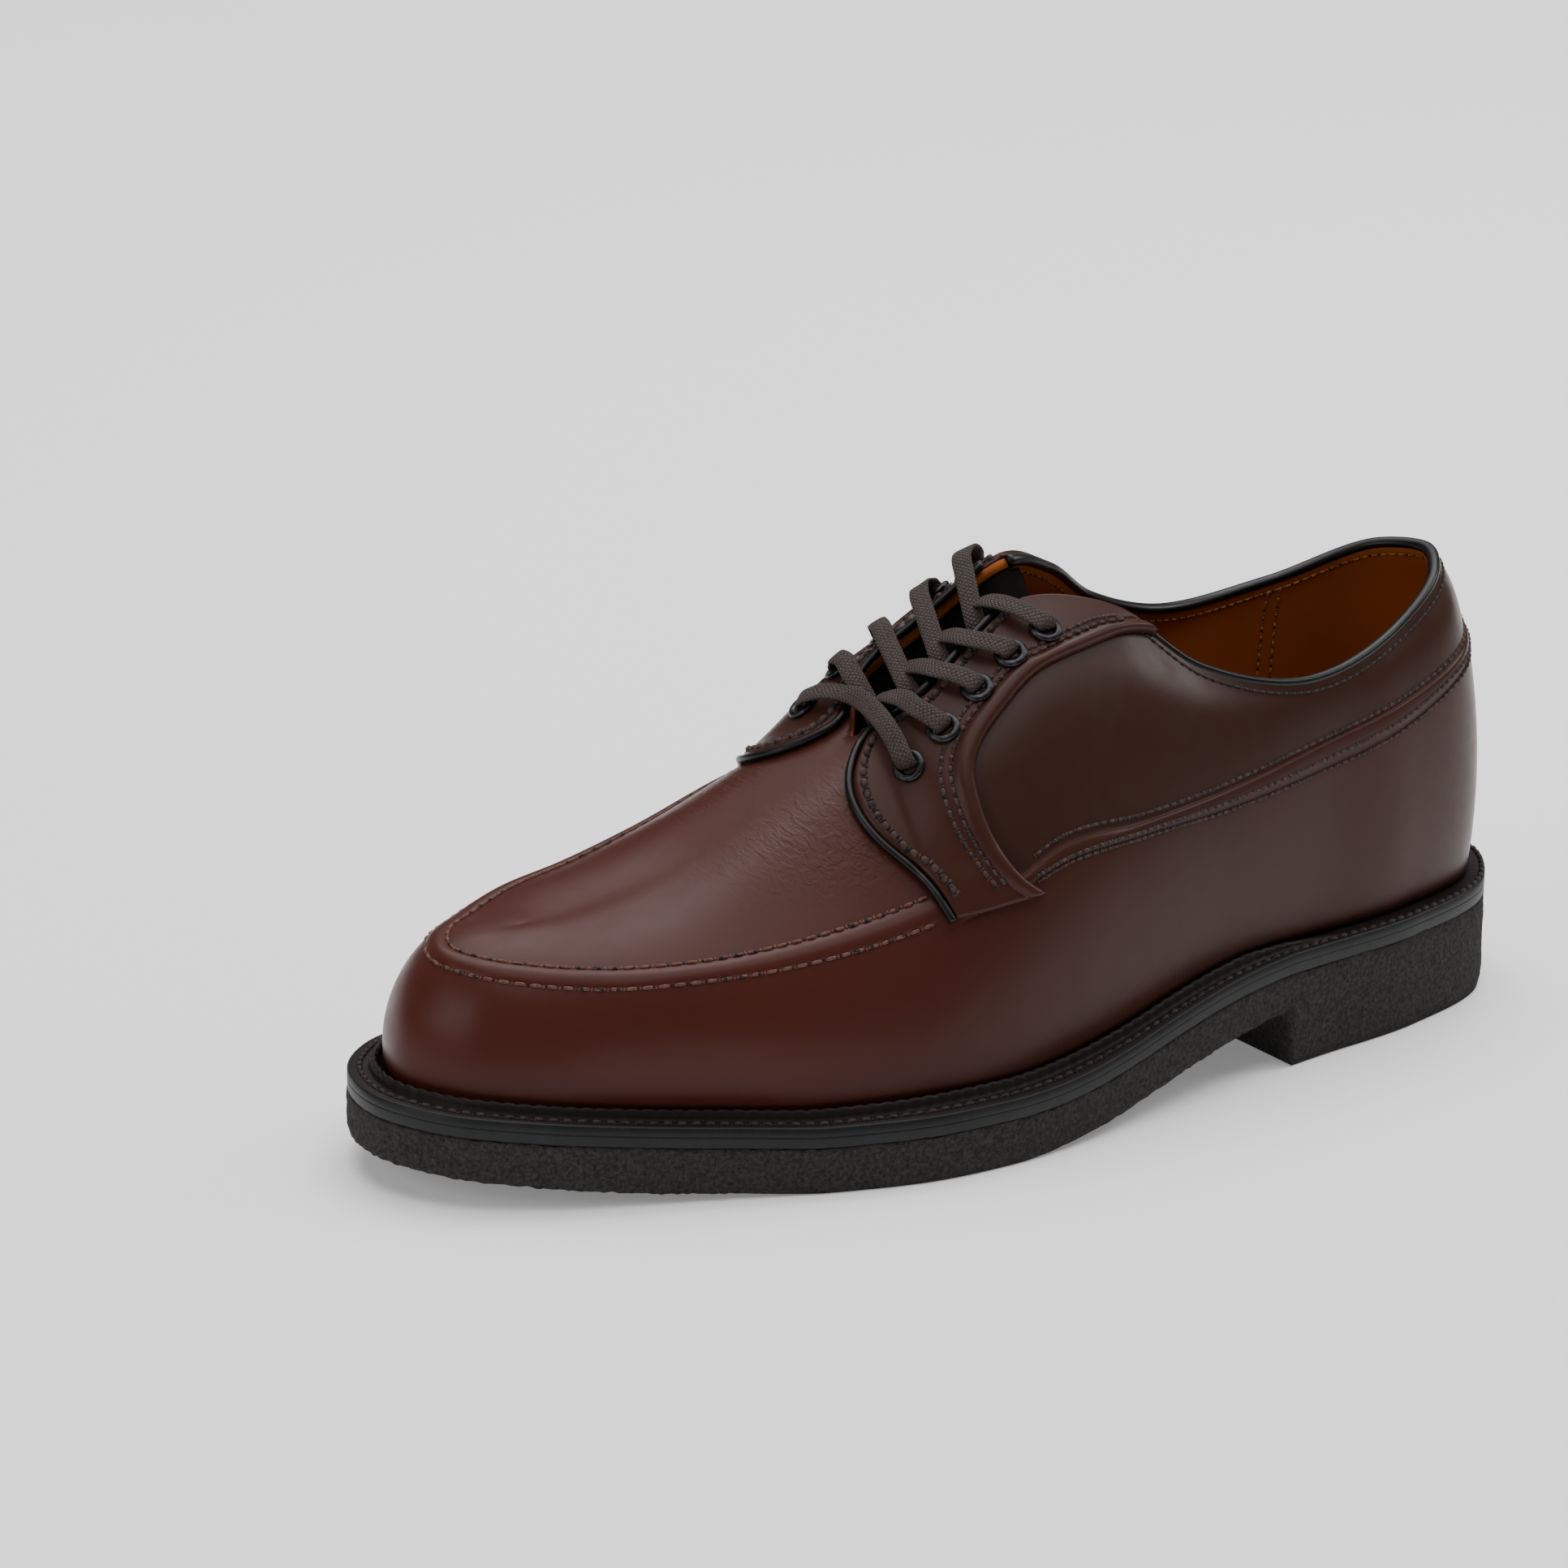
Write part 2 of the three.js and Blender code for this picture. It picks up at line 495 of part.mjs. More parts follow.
sides.forEach((side) => {
  const edgeAt = (i) => {
    const [u, v] = facingCurve(Math.min(FACING.length - 1, i));
    const at = [side.at(u), Math.min(2, v)];
    return lifted(...at, facingLift(...at) + FACING_BINDING / 2);
  };
  const points = [];
  for (let i = 0.5; i <= FACING.length - 1; i += 0.5) {
    const [uFront, vFront, uRear, vRear] = facingCurve(i);
    const edge = edgeAt(i);
    const inward = lifted(side.at(uRear), vRear, 0).sub(edge);
    const run = edgeAt(i + 0.2).sub(edgeAt(i - 0.2));
    const out = run.cross(lastNormal(side.at(uFront), Math.min(2, vFront))).normalize();
    if (out.dot(inward) > 0) out.negate();
    points.push(edge.addScaledVector(out, FACING_BINDING / 2 + RIM_CLEARANCE));
  }
  piece(`facing_binding_${side.name}`, roundCord(points, FACING_BINDING, 40, 6), bindingLeather);
});

// The tongue lies under both facings and bridges the gap between them
const TONGUE_PAIRS = [[8.9, 21.1], [8.3, 21.7], [7.7, 22.3], [7.1, 22.9], [6.5, 23.5],
  [6, 24], [5.6, 24.4]];
const TONGUE_SIDE_STEPS = 3;
const TONGUE_GAP_STEPS = 4;
function tongueRow(pair) {
  const shelf = -UPPER_WALL - GAP;
  const low = [];
  const high = [];
  const add = (outer, normal) => {
    high.push(outer);
    low.push(outer.clone().addScaledVector(normal, -TONGUE_THICKNESS));
  };
  const side = (u, v) => add(lifted(u, v, shelf - TONGUE_DROP), lastNormal(u, v));
  for (let k = 0; k <= TONGUE_SIDE_STEPS; k += 1) {
    side(pair[0], lerp(2 - TONGUE_WRAP, 2, k / TONGUE_SIDE_STEPS));
  }
  const from = high[high.length - 1].clone();
  const to = lifted(pair[1], 2, shelf - TONGUE_DROP);
  for (let k = 1; k < TONGUE_GAP_STEPS; k += 1) {
    const f = k / TONGUE_GAP_STEPS;
    add(from.clone().lerp(to, f), lastNormal(pair[0], 2).lerp(lastNormal(pair[1], 2), f).normalize());
  }
  for (let k = 0; k <= TONGUE_SIDE_STEPS; k += 1) {
    side(pair[1], lerp(2, 2 - TONGUE_WRAP, k / TONGUE_SIDE_STEPS));
  }
  return [...high, ...low.reverse()];
}
piece('tongue', sheetSolid(TONGUE_PAIRS.map(tongueRow)), facingLeather);

// Eyelets: a flanged ring on each of the five places of each facing
const facingTop = (u, v) => facingLift(u, v) + FACING_THICKNESS;
const EYELET_SEAT = 0.45;       // the flat flange clears the curved leather
const eyeletProfile = [
  [EYELET_INNER / 2, 0], [EYELET_OUTER / 2, 0], [EYELET_OUTER / 2 - 0.5, EYELET_HEIGHT],
  [EYELET_INNER / 2 + 0.4, EYELET_HEIGHT], [EYELET_INNER / 2, 0],
].map(([r, z]) => new THREE.Vector2(r, z));
function eyelet(u, v) {
  const geometry = new THREE.LatheGeometry(eyeletProfile, 14);
  geometry.deleteAttribute('normal');
  geometry.deleteAttribute('uv');
  const normal = lastNormal(u, v);
  geometry.applyQuaternion(new THREE.Quaternion()
    .setFromUnitVectors(new THREE.Vector3(0, 1, 0), normal));
  const seat = lifted(u, v, facingTop(u, v) + EYELET_SEAT);
  geometry.translate(seat.x, seat.y, seat.z);
  return outward(mergeVertices(geometry, 1e-3));
}
sides.forEach((side) => EYELETS.forEach(([u, v], i) => {
  piece(`eyelet_${side.name}_${i + 1}`, eyelet(side.at(u), v), gunmetal);
}));

// Laces: flat straps over the facings. The lowest is a bar, the others cross over the tongue.
function strap(points, ups) {
  const rings = points.map((p, i) => {
    const ahead = points[Math.min(points.length - 1, i + 1)];
    const behind = points[Math.max(0, i - 1)];
    const run = ahead.clone().sub(behind).normalize();
    const wide = run.clone().cross(ups[i]).normalize();
    const up = wide.clone().cross(run).normalize();
    return [[-1, 0], [1, 0], [1, 1], [-1, 1]].map(([a, b]) => p.clone()
      .addScaledVector(wide, a * LACE_WIDTH / 2).addScaledVector(up, b * LACE_THICKNESS));
  });
  return ringSolid(rings, false);
}
const laceSeat = EYELET_SEAT + EYELET_HEIGHT + GAP;
const gapEdge = (side, u) => [side.at(u), 2];
function overFacing(side, i, run) {
  const [u, v] = EYELETS[i];
  const edge = gapEdge(side, run);
  const steps = [0, 0.35, 0.7, 1].map((f) => [lerp(side.at(u), edge[0], f), lerp(v, edge[1], f)]);
  return steps.map(([uu, vv], k) => {
    const lift = facingTop(uu, vv) + (k === 0 ? laceSeat : laceSeat + 0.3);
    return { point: lifted(uu, vv, lift), up: lastNormal(uu, vv) };
  });
}
const EDGE_RUNS = [8.5, 7.85, 7.2, 6.55, 5.95];   // where each lace leaves the facing's edge
function laceBar() {
  const left = overFacing(sides[0], 0, EDGE_RUNS[0]);
  const right = overFacing(sides[1], 0, EDGE_RUNS[0]);
  const all = [...left, ...right.reverse()];
  return strap(all.map((s) => s.point), all.map((s) => s.up));
}
piece('lace_bar', laceBar(), laceCord);

const CROSS_DROP = 1.1;         // the upper strap of a crossing rides this much above the lower
const CROSS_SLANT = 0.3;        // the upper strap slants this much towards the toe
function laceHalf(side, other, i, raise, slant, reach) {
  const over = overFacing(side, i, EDGE_RUNS[i]);
  const start = over[over.length - 1];
  const far = lifted(other.at(EDGE_RUNS[i] + slant), 2, -UPPER_WALL / 2);
  const dive = start.point.clone().lerp(far, reach);
  const middle = start.point.clone().lerp(far, 0.6 * reach);
  const up = new THREE.Vector3(0, -0.5, 1).normalize();
  middle.addScaledVector(up, raise + 0.6);
  dive.addScaledVector(up, raise);
  const points = [...over.map((s) => s.point), middle, dive];
  const ups = [...over.map((s) => s.up), up, up];
  return toSolid(strap(points, ups));
}
for (let i = 1; i < EYELETS.length; i += 1) {
  const lower = laceHalf(sides[0], sides[1], i, 0, 0, 0.8);
  const upper = laceHalf(sides[1], sides[0], i, CROSS_DROP, CROSS_SLANT, 0.7);
  piece(`lace_cross_${i + 1}`, fromSolid(lower.add(upper)), laceCord);
}

export default shoe;
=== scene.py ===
# %% [markdown]
# An apron toe derby, left shoe. A last is the solid foot form that a shoe is made over, and every
# panel here is drawn on one function that gives a point of the last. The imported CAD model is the
# fixed frame, and each visible piece stands for one or more of its solids.

# %% Load the frame
import math

import bmesh
import bpy
import numpy as np
from mathutils import Matrix, Vector, noise
from mathutils.kdtree import KDTree


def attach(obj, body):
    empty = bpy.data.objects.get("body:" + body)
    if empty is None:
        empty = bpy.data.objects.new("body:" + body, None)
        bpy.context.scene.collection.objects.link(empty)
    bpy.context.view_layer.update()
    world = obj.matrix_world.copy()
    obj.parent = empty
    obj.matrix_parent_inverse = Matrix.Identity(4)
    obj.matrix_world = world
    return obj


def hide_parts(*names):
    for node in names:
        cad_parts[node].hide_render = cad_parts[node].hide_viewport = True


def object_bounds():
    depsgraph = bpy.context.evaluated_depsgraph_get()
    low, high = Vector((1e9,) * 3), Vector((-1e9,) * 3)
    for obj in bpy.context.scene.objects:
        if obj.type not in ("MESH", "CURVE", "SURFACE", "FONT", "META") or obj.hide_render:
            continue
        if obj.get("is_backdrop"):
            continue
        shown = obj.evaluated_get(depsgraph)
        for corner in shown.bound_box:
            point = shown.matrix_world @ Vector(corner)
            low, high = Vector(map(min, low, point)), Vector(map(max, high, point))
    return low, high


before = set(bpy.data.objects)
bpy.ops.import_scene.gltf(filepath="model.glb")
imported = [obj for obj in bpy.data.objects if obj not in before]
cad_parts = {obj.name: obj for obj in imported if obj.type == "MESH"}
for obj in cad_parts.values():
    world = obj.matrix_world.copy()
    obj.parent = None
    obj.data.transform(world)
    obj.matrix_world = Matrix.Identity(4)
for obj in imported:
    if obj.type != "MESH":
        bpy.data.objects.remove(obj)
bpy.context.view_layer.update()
bpy.ops.object.select_all(action="DESELECT")

# %% [markdown]
# The last repeats the part's own dimensions, in millimetres. Going round from the heel back by
# the lateral side, each section has a point on the sole's edge, on the seam and on the top.

# %% Dimensions of the last
SHOE_LENGTH = 304
HALF_WIDTH = 111.6 / 2
INSTEP_RISE = 90
HEEL_LIFT = 14
SOLE_STACK = 15.6
TOE_SPRING = 7.6
WELT_THICKNESS = 2.2
MIDSOLE_THICKNESS = 2.8
WELT_LEDGE = 9
WELT_SEAT = 9
BEAD_WIDTH = 2
BEAD_HEIGHT = 2.6
BEAD_TO_UPPER = 1.5
HEEL_BREAST = 84
BREAST_SLOPE = 1.6
UPPER_WALL = 2.2
GAP = 0.3
FACING_THICKNESS = 1.4
SEAM_CREASE = 0.6
SECTIONS = np.array([
    [0, 0, 0.5, 0, 0.026, 0.625, 0, 0.051, 0.854],
    [0.375, 0.039, 0.56, 0.287, 0.053, 0.604, 0.197, 0.071, 0.832],
    [0.611, 0.138, 0.64, 0.484, 0.141, 0.561, 0.385, 0.141, 0.728],
    [0.708, 0.247, 0.72, 0.573, 0.243, 0.509, 0.502, 0.25, 0.672],
    [0.806, 0.345, 0.83, 0.654, 0.342, 0.488, 0.43, 0.332, 0.762],
    [0.905, 0.428, 0.89, 0.726, 0.421, 0.514, 0.251, 0.401, 0.972],
    [0.989, 0.503, 1, 0.78, 0.503, 0.534, 0.134, 0.464, 1.04],
    [1.025, 0.553, 1, 0.78, 0.549, 0.503, 0.161, 0.516, 0.973],
    [1.036, 0.595, 1, 0.753, 0.586, 0.461, 0.188, 0.566, 0.871],
    [1.022, 0.641, 1, 0.713, 0.615, 0.428, -0.018, 0.595, 0.784],
    [0.914, 0.717, 0.89, 0.645, 0.711, 0.378, -0.036, 0.684, 0.627],
    [0.753, 0.789, 0.89, 0.538, 0.791, 0.346, -0.054, 0.757, 0.505],
    [0.606, 0.859, 0.89, 0.385, 0.855, 0.318, -0.081, 0.812, 0.44],
    [0.439, 0.924, 0.89, 0.215, 0.893, 0.305, -0.108, 0.845, 0.408],
    [0.197, 0.977, 0.94, 0.036, 0.928, 0.308, -0.125, 0.863, 0.396],
    [-0.12, 1, 0.94, -0.161, 0.942, 0.315, -0.134, 0.868, 0.392],
    [-0.43, 0.987, 0.94, -0.341, 0.929, 0.326, -0.125, 0.863, 0.396],
    [-0.686, 0.944, 0.89, -0.502, 0.888, 0.344, -0.108, 0.845, 0.408],
    [-0.851, 0.875, 0.83, -0.6, 0.839, 0.382, -0.081, 0.812, 0.44],
    [-0.941, 0.799, 0.78, -0.618, 0.783, 0.426, -0.054, 0.757, 0.505],
    [-0.961, 0.724, 0.72, -0.618, 0.72, 0.489, -0.036, 0.684, 0.627],
    [-0.887, 0.632, 0.67, -0.618, 0.638, 0.572, -0.018, 0.595, 0.784],
    [-0.815, 0.579, 0.67, -0.618, 0.586, 0.606, -0.215, 0.566, 0.877],
    [-0.726, 0.526, 0.67, -0.618, 0.536, 0.617, -0.188, 0.516, 0.979],
    [-0.636, 0.47, 0.61, -0.6, 0.484, 0.607, -0.152, 0.441, 1.085],
    [-0.547, 0.411, 0.56, -0.565, 0.411, 0.568, -0.269, 0.385, 0.978],
    [-0.502, 0.345, 0.56, -0.547, 0.339, 0.537, -0.412, 0.326, 0.815],
    [-0.547, 0.257, 0.56, -0.547, 0.25, 0.533, -0.484, 0.253, 0.717],
    [-0.618, 0.148, 0.61, -0.511, 0.145, 0.578, -0.484, 0.141, 0.733],
    [-0.466, 0.036, 0.56, -0.305, 0.053, 0.615, -0.233, 0.064, 0.838],
])
COUNT = len(SECTIONS)
THROAT = 9
TOE = 15
SOLE_LINE = np.array([
    [0, 1, 0, 0.885], [0.132, 1, 0, 0.865], [0.276, 1, 0, 0.88], [0.329, 0.87, 0, 0.92],
    [0.395, 0.61, 0, 0.95], [0.461, 0.3, 0, 0.955], [0.52, 0.09, 0, 0.97], [0.566, 0, 0, 1],
    [0.658, 0, 0, 1], [0.73, 0, 0, 1], [0.789, 0, 0.16, 1], [0.855, 0, 0.39, 1],
    [0.921, 0, 0.68, 0.98], [1, 0, 1, 0.93],
])


# %% Smooth curves through rows of numbers
def hermite(f, a, b, ta, tb):
    f = f[:, None]
    f2, f3 = f ** 2, f ** 3
    return (2 * f3 - 3 * f2 + 1) * a + (f3 - 2 * f2 + f) * ta + (3 * f2 - 2 * f3) * b + (f3 - f2) * tb


def smooth_curve(rows, closed, spans=None, corners=()):
    """A function of the row number, fractions allowed, that passes smoothly through the rows."""
    rows = np.asarray(rows, float)
    after = np.roll(rows, -1, axis=0) if closed else rows[1:]
    steps = after - (rows if closed else rows[:-1])
    spans = np.linalg.norm(steps, axis=1) if spans is None else np.asarray(spans, float)
    slopes = steps / spans[:, None]
    if closed:
        before, ahead = np.roll(slopes, 1, axis=0), slopes
        wide_b, wide_a = np.roll(spans, 1)[:, None], spans[:, None]
    else:
        before, ahead = np.vstack([slopes[:1], slopes]), np.vstack([slopes, slopes[-1:]])
        wide_b = np.concatenate([spans[:1], spans])[:, None]
        wide_a = np.concatenate([spans, spans[-1:]])[:, None]
    tangent = (before * wide_a + ahead * wide_b) / (wide_a + wide_b)
    leave, arrive = tangent.copy(), tangent.copy()
    for corner in corners:
        leave[corner], arrive[corner] = ahead[corner], before[corner]

    def at(place):
        place = np.atleast_1d(np.asarray(place, float))
        place = place % len(rows) if closed else place
        k = np.floor(place).astype(int)
        k = k % len(rows) if closed else np.clip(k, 0, len(rows) - 2)
        f = place - np.floor(place) if closed else place - k
        nxt = (k + 1) % len(rows)
        return hermite(f, rows[k], rows[nxt], leave[k] * spans[k, None], arrive[nxt] * spans[k, None])
    return at


def unit(a):
    return a / np.maximum(np.linalg.norm(a, axis=-1, keepdims=True), 1e-9)


# %% The sole's side view and the rails of the last
sole_curve = smooth_curve(SOLE_LINE[:, 1:], False, np.diff(SOLE_LINE[:, 0]))


def sole_row(t):
    share = np.clip(np.asarray(t, float) / SHOE_LENGTH, 0, 1)
    return sole_curve(np.interp(share, SOLE_LINE[:, 0], np.arange(len(SOLE_LINE))))


def sole_under(t):
    row = sole_row(t)
    return np.clip(row[:, 0], 0, 1) * HEEL_LIFT + np.clip(row[:, 1], 0, 1) * TOE_SPRING


def welt_top(t):
    return sole_under(t) + sole_row(t)[:, 2] * SOLE_STACK


def rail_rows(across, along, rise):
    t = SECTIONS[:, along] * SHOE_LENGTH
    return np.column_stack([SECTIONS[:, across] * HALF_WIDTH, t,
                            welt_top(t) + SECTIONS[:, rise] * INSTEP_RISE])


outline_rail = smooth_curve(
    np.column_stack([SECTIONS[:, 0] * HALF_WIDTH, SECTIONS[:, 1] * SHOE_LENGTH]), True)
ledge_rail = smooth_curve(SECTIONS[:, 2:3] * WELT_LEDGE, True, np.ones(COUNT))
seam_rail = smooth_curve(rail_rows(3, 4, 5), True)
top_rail = smooth_curve(rail_rows(6, 7, 8), True, None, (THROAT, COUNT - THROAT))
across = outline_rail(np.arange(COUNT * 8) / 8)[:, 0]
SOLE_MIDDLE = (across.max() + across.min()) / 2
print("middle of the sole", SOLE_MIDDLE)


def place(p):
    return np.column_stack([p[:, 0] - SOLE_MIDDLE, SHOE_LENGTH / 2 - p[:, 1], p[:, 2]])


def outline_at(u, inset):
    step = 0.02
    here, back, ahead = outline_rail(u), outline_rail(u - step), outline_rail(u + step)
    run = unit(ahead - back)
    inset = np.broadcast_to(inset, run[:, 0].shape)
    return here + np.column_stack([-run[:, 1], run[:, 0]]) * inset[:, None]


def fore_share(u):
    u = u % COUNT
    return np.clip(u - THROAT + 1, 0, 1) * np.clip(COUNT - THROAT + 1 - u, 0, 1)


def last_point(u, v):
    u, v = np.broadcast_arrays(np.atleast_1d(np.asarray(u, float)) % COUNT, v)
    foot2 = outline_at(u, ledge_rail(u)[:, 0])
    foot = place(np.column_stack([foot2, welt_top(foot2[:, 1]) + GAP]))
    seam = place(seam_rail(u))
    twin = np.where((u > TOE) & (u <= COUNT - THROAT), COUNT - u, u)
    top = place(top_rail(twin))
    low, high = seam - foot, top - seam
    low_size = np.linalg.norm(low, axis=1, keepdims=True)
    high_size = np.linalg.norm(high, axis=1, keepdims=True)
    low, high = unit(low), unit(high)
    fore = fore_share(u)[:, None]
    mid = unit(low + high)

    def mirror(d):
        return unit(d * 2 * (d * mid).sum(1, keepdims=True) - mid)
    under = hermite(np.clip(v, 0, 1), foot, seam, mirror(low) * low_size, mid * low_size)
    arrive = mirror(high)
    level = unit(arrive * [1, 1, 0])
    arrive = unit(arrive + (level - arrive) * fore)
    leave = low * (1 - SEAM_CREASE * fore) + high
    leave_mid = leave
    over = hermite(np.clip(v - 1, 0, 1), seam, top, leave_mid * high_size, arrive * high_size)
    return np.where((v <= 1)[:, None], under, over)


def last_normal(u, v):
    u, v = np.broadcast_arrays(np.atleast_1d(np.asarray(u, float)), v)
    step = 0.03
    vv = np.minimum(v, 1.95)
    du = last_point(u + step, vv) - last_point(u - step, vv)
    dv = last_point(u, np.minimum(2, vv + step)) - last_point(u, np.maximum(0, vv - step))
    return unit(np.cross(dv, du))


def lifted(u, v, lift):
    lift = np.broadcast_to(lift, np.broadcast(np.atleast_1d(u), v).shape)
    return last_point(u, v) + last_normal(u, v) * lift[:, None]


# %% [markdown]
# The camera stands where the photo's stood: in front of the shoe on its lateral side, a little
# above it, far off with a long lens, and rolled by about one degree.

# %% Camera
CAMERA_TURN, CAMERA_RISE, CAMERA_ROLL = (math.radians(a) for a in (55.34884, 18.39509, 0.903989))
CAMERA_DISTANCE, FOCAL_PIXELS, PHOTO_PIXELS = 1736.3998, 9330.898, 1932
CAMERA_RIGHT, CAMERA_UP = -39.04076, 27.72444
back = np.array([math.sin(CAMERA_TURN) * math.cos(CAMERA_RISE),
                 -math.cos(CAMERA_TURN) * math.cos(CAMERA_RISE), math.sin(CAMERA_RISE)])
side = np.array([math.cos(CAMERA_TURN), math.sin(CAMERA_TURN), 0])
rise = np.cross(back, side)
right = side * math.cos(CAMERA_ROLL) + rise * math.sin(CAMERA_ROLL)
up = rise * math.cos(CAMERA_ROLL) - side * math.sin(CAMERA_ROLL)
spot = np.array([-SOLE_MIDDLE, 0, 40]) + back * CAMERA_DISTANCE + right * CAMERA_RIGHT + up * CAMERA_UP
bpy.ops.object.camera_add()
camera = bpy.context.object
camera.name = "camera"
camera.data.sensor_width = 36
camera.data.lens = FOCAL_PIXELS / PHOTO_PIXELS * camera.data.sensor_width
camera.data.clip_end = 20
turn = Matrix([[right[i], up[i], back[i]] for i in range(3)]).to_4x4()
camera.matrix_world = Matrix.Translation(Vector(spot / 1000)) @ turn
bpy.context.scene.camera = camera


# %% Helpers that make meshes and materials
def linear(text):
    channels = [int(text[i:i + 2], 16) / 255 for i in (1, 3, 5)]
    return [c / 12.92 if c <= 0.04045 else ((c + 0.055) / 1.055) ** 2.4 for c in channels] + [1]


def add(tree, kind, inputs=(), **settings):
    """Adds a node with its settings. Each input is a number, a colour or another node's output."""
    node = tree.nodes.new("ShaderNode" + kind)
    for key, value in settings.items():
        setattr(node, key, value)
    for key, value in dict(inputs).items():
        if isinstance(value, bpy.types.NodeSocket):
            tree.links.new(value, node.inputs[key])
        else:
            node.inputs[key].default_value = value
    return node


def new_material(name):
    material = bpy.data.materials.new(name)
    material.use_nodes = True
    tree = material.node_tree
    shader = tree.nodes["Principled BSDF"]
    return material, tree, shader


def ramp(tree, factor, low, high, first, second):
    node = add(tree, "ValToRGB", {"Fac": factor})
    node.color_ramp.elements[0].position, node.color_ramp.elements[1].position = low, high
    node.color_ramp.elements[0].color, node.color_ramp.elements[1].color = first, second
    return node.outputs["Color"]


def grey(level):
    return [level, level, level, 1]


def mesh_piece(name, points, faces, materials, indices=None, merge=True, attributes=None):
    """A mesh from points in millimetres. It is merged, turned outwards and shaded smooth."""
    mesh = bpy.data.meshes.new(name)
    mesh.from_pydata((np.asarray(points) / 1000).tolist(), [], faces)
    for key, values in (attributes or {}).items():
        mesh.attributes.new(key, "FLOAT", "POINT").data.foreach_set("value", np.asarray(values, np.float32))
    if indices is not None:
        mesh.polygons.foreach_set("material_index", np.asarray(indices, np.int32))
    for material in materials:
        mesh.materials.append(material)
    work = bmesh.new()
    work.from_mesh(mesh)
    if merge:
        bmesh.ops.remove_doubles(work, verts=work.verts, dist=2e-6)
    bmesh.ops.recalc_face_normals(work, faces=work.faces)
    work.to_mesh(mesh)
    work.free()
    mesh.shade_smooth()
    piece = bpy.data.objects.new(name, mesh)
    bpy.context.scene.collection.objects.link(piece)
    return piece


def wrap_faces(rows, size, closed, skip=None):
    """Quads between neighbouring rings of the same size, with caps where the row of rings is open."""
    faces = []
    for r in range(rows if closed else rows - 1):
        base, nxt = r * size, ((r + 1) % rows) * size
        for k in range(size):
            if skip is None or not skip(r, k):
                k2 = (k + 1) % size
                faces.append((base + k, nxt + k, nxt + k2, base + k2))
    if not closed:
        faces.append(tuple(range(size)))
        faces.append(tuple(range((rows - 1) * size, rows * size)))
    return faces


def shown(piece, slot, *nodes):
    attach(piece, "root")
    if nodes:
        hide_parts(*nodes)
    return piece


# %% [markdown]
# Waxed leather: brown red at the toe and darker on the quarter. Wax gives a soft, broad gloss, and
# the pores are about 0.5 mm apart. A value kept on the mesh, tone, says how dark a panel is.

# %% Leather materials
def leather(name, red, dark, rough_low, rough_high, pore_mm=0.5, pore_depth=0.02, coat=0.2, shine=0.2):
    material, tree, shader = new_material(name)
    where = add(tree, "TexCoord").outputs["Object"]
    cloud = add(tree, "TexNoise", {"Vector": where, "Scale": 28, "Detail": 4}).outputs["Fac"]
    fine = add(tree, "TexNoise", {"Vector": where, "Scale": 260, "Detail": 5}).outputs["Fac"]
    tone = add(tree, "Attribute", attribute_name="tone").outputs["Fac"]
    spread = add(tree, "Math", {0: cloud, 1: 0.5}, operation="SUBTRACT").outputs[0]
    mixed = add(tree, "Math", {0: spread, 1: 0.55, 2: tone}, operation="MULTIPLY_ADD").outputs[0]
    colour = ramp(tree, mixed, 0, 1, linear(red), linear(dark))
    tree.links.new(colour, shader.inputs["Base Color"])
    tree.links.new(ramp(tree, fine, 0.3, 0.7, grey(rough_low), grey(rough_high)), shader.inputs["Roughness"])
    pores = add(tree, "TexVoronoi", {"Vector": where, "Scale": 1000 / pore_mm}).outputs["Distance"]
    crease = add(tree, "Attribute", attribute_name="crease").outputs["Fac"]
    across = add(tree, "Mapping", {"Vector": where, "Rotation": (0, 0, 0.5), "Scale": (0.35, 1, 1)})
    folds = add(tree, "TexNoise", {"Vector": across.outputs["Vector"], "Scale": 520, "Detail": 3,
                                   "Distortion": 1.2}).outputs["Fac"]
    worn = add(tree, "Math", {0: folds, 1: crease}, operation="MULTIPLY").outputs[0]
    bump = add(tree, "Bump", {"Height": pores, "Strength": 0.25, "Distance": pore_depth / 1000})
    waves = add(tree, "Bump", {"Height": fine, "Strength": 0.3, "Distance": 0.0001,
                               "Normal": bump.outputs["Normal"]})
    waves = add(tree, "Bump", {"Height": worn, "Strength": 0.6, "Distance": 0.0008,
                               "Normal": waves.outputs["Normal"]})
    tree.links.new(waves.outputs["Normal"], shader.inputs["Normal"])
    shader.inputs["Coat Weight"].default_value = coat
    shader.inputs["Coat Roughness"].default_value = 0.3
    shader.inputs["Specular IOR Level"].default_value = shine
    return material


waxed_leather = leather("waxed_calf_leather", "#4a211b", "#37221b", 0.31, 0.38,
                       pore_depth=0.01, coat=0.03, shine=0.14)
piping_leather = leather("rolled_piping_leather", "#0e0908", "#0b0807", 0.32, 0.42, coat=0.1, shine=0.25)
lining_leather = leather("vegetable_tanned_lining", "#a45a25", "#88481c", 0.6, 0.75, coat=0.0, shine=0.1)
# The tongue's near-black colours are painted shade: the shadow in the throat between the facings.
tongue_leather = leather("tongue_painted_shade_black", "#090605", "#060403", 0.85, 0.92, coat=0.0, shine=0.05)
welt_leather = leather("dark_welt_leather", "#1c110e", "#130d0b", 0.5, 0.65, coat=0.0)


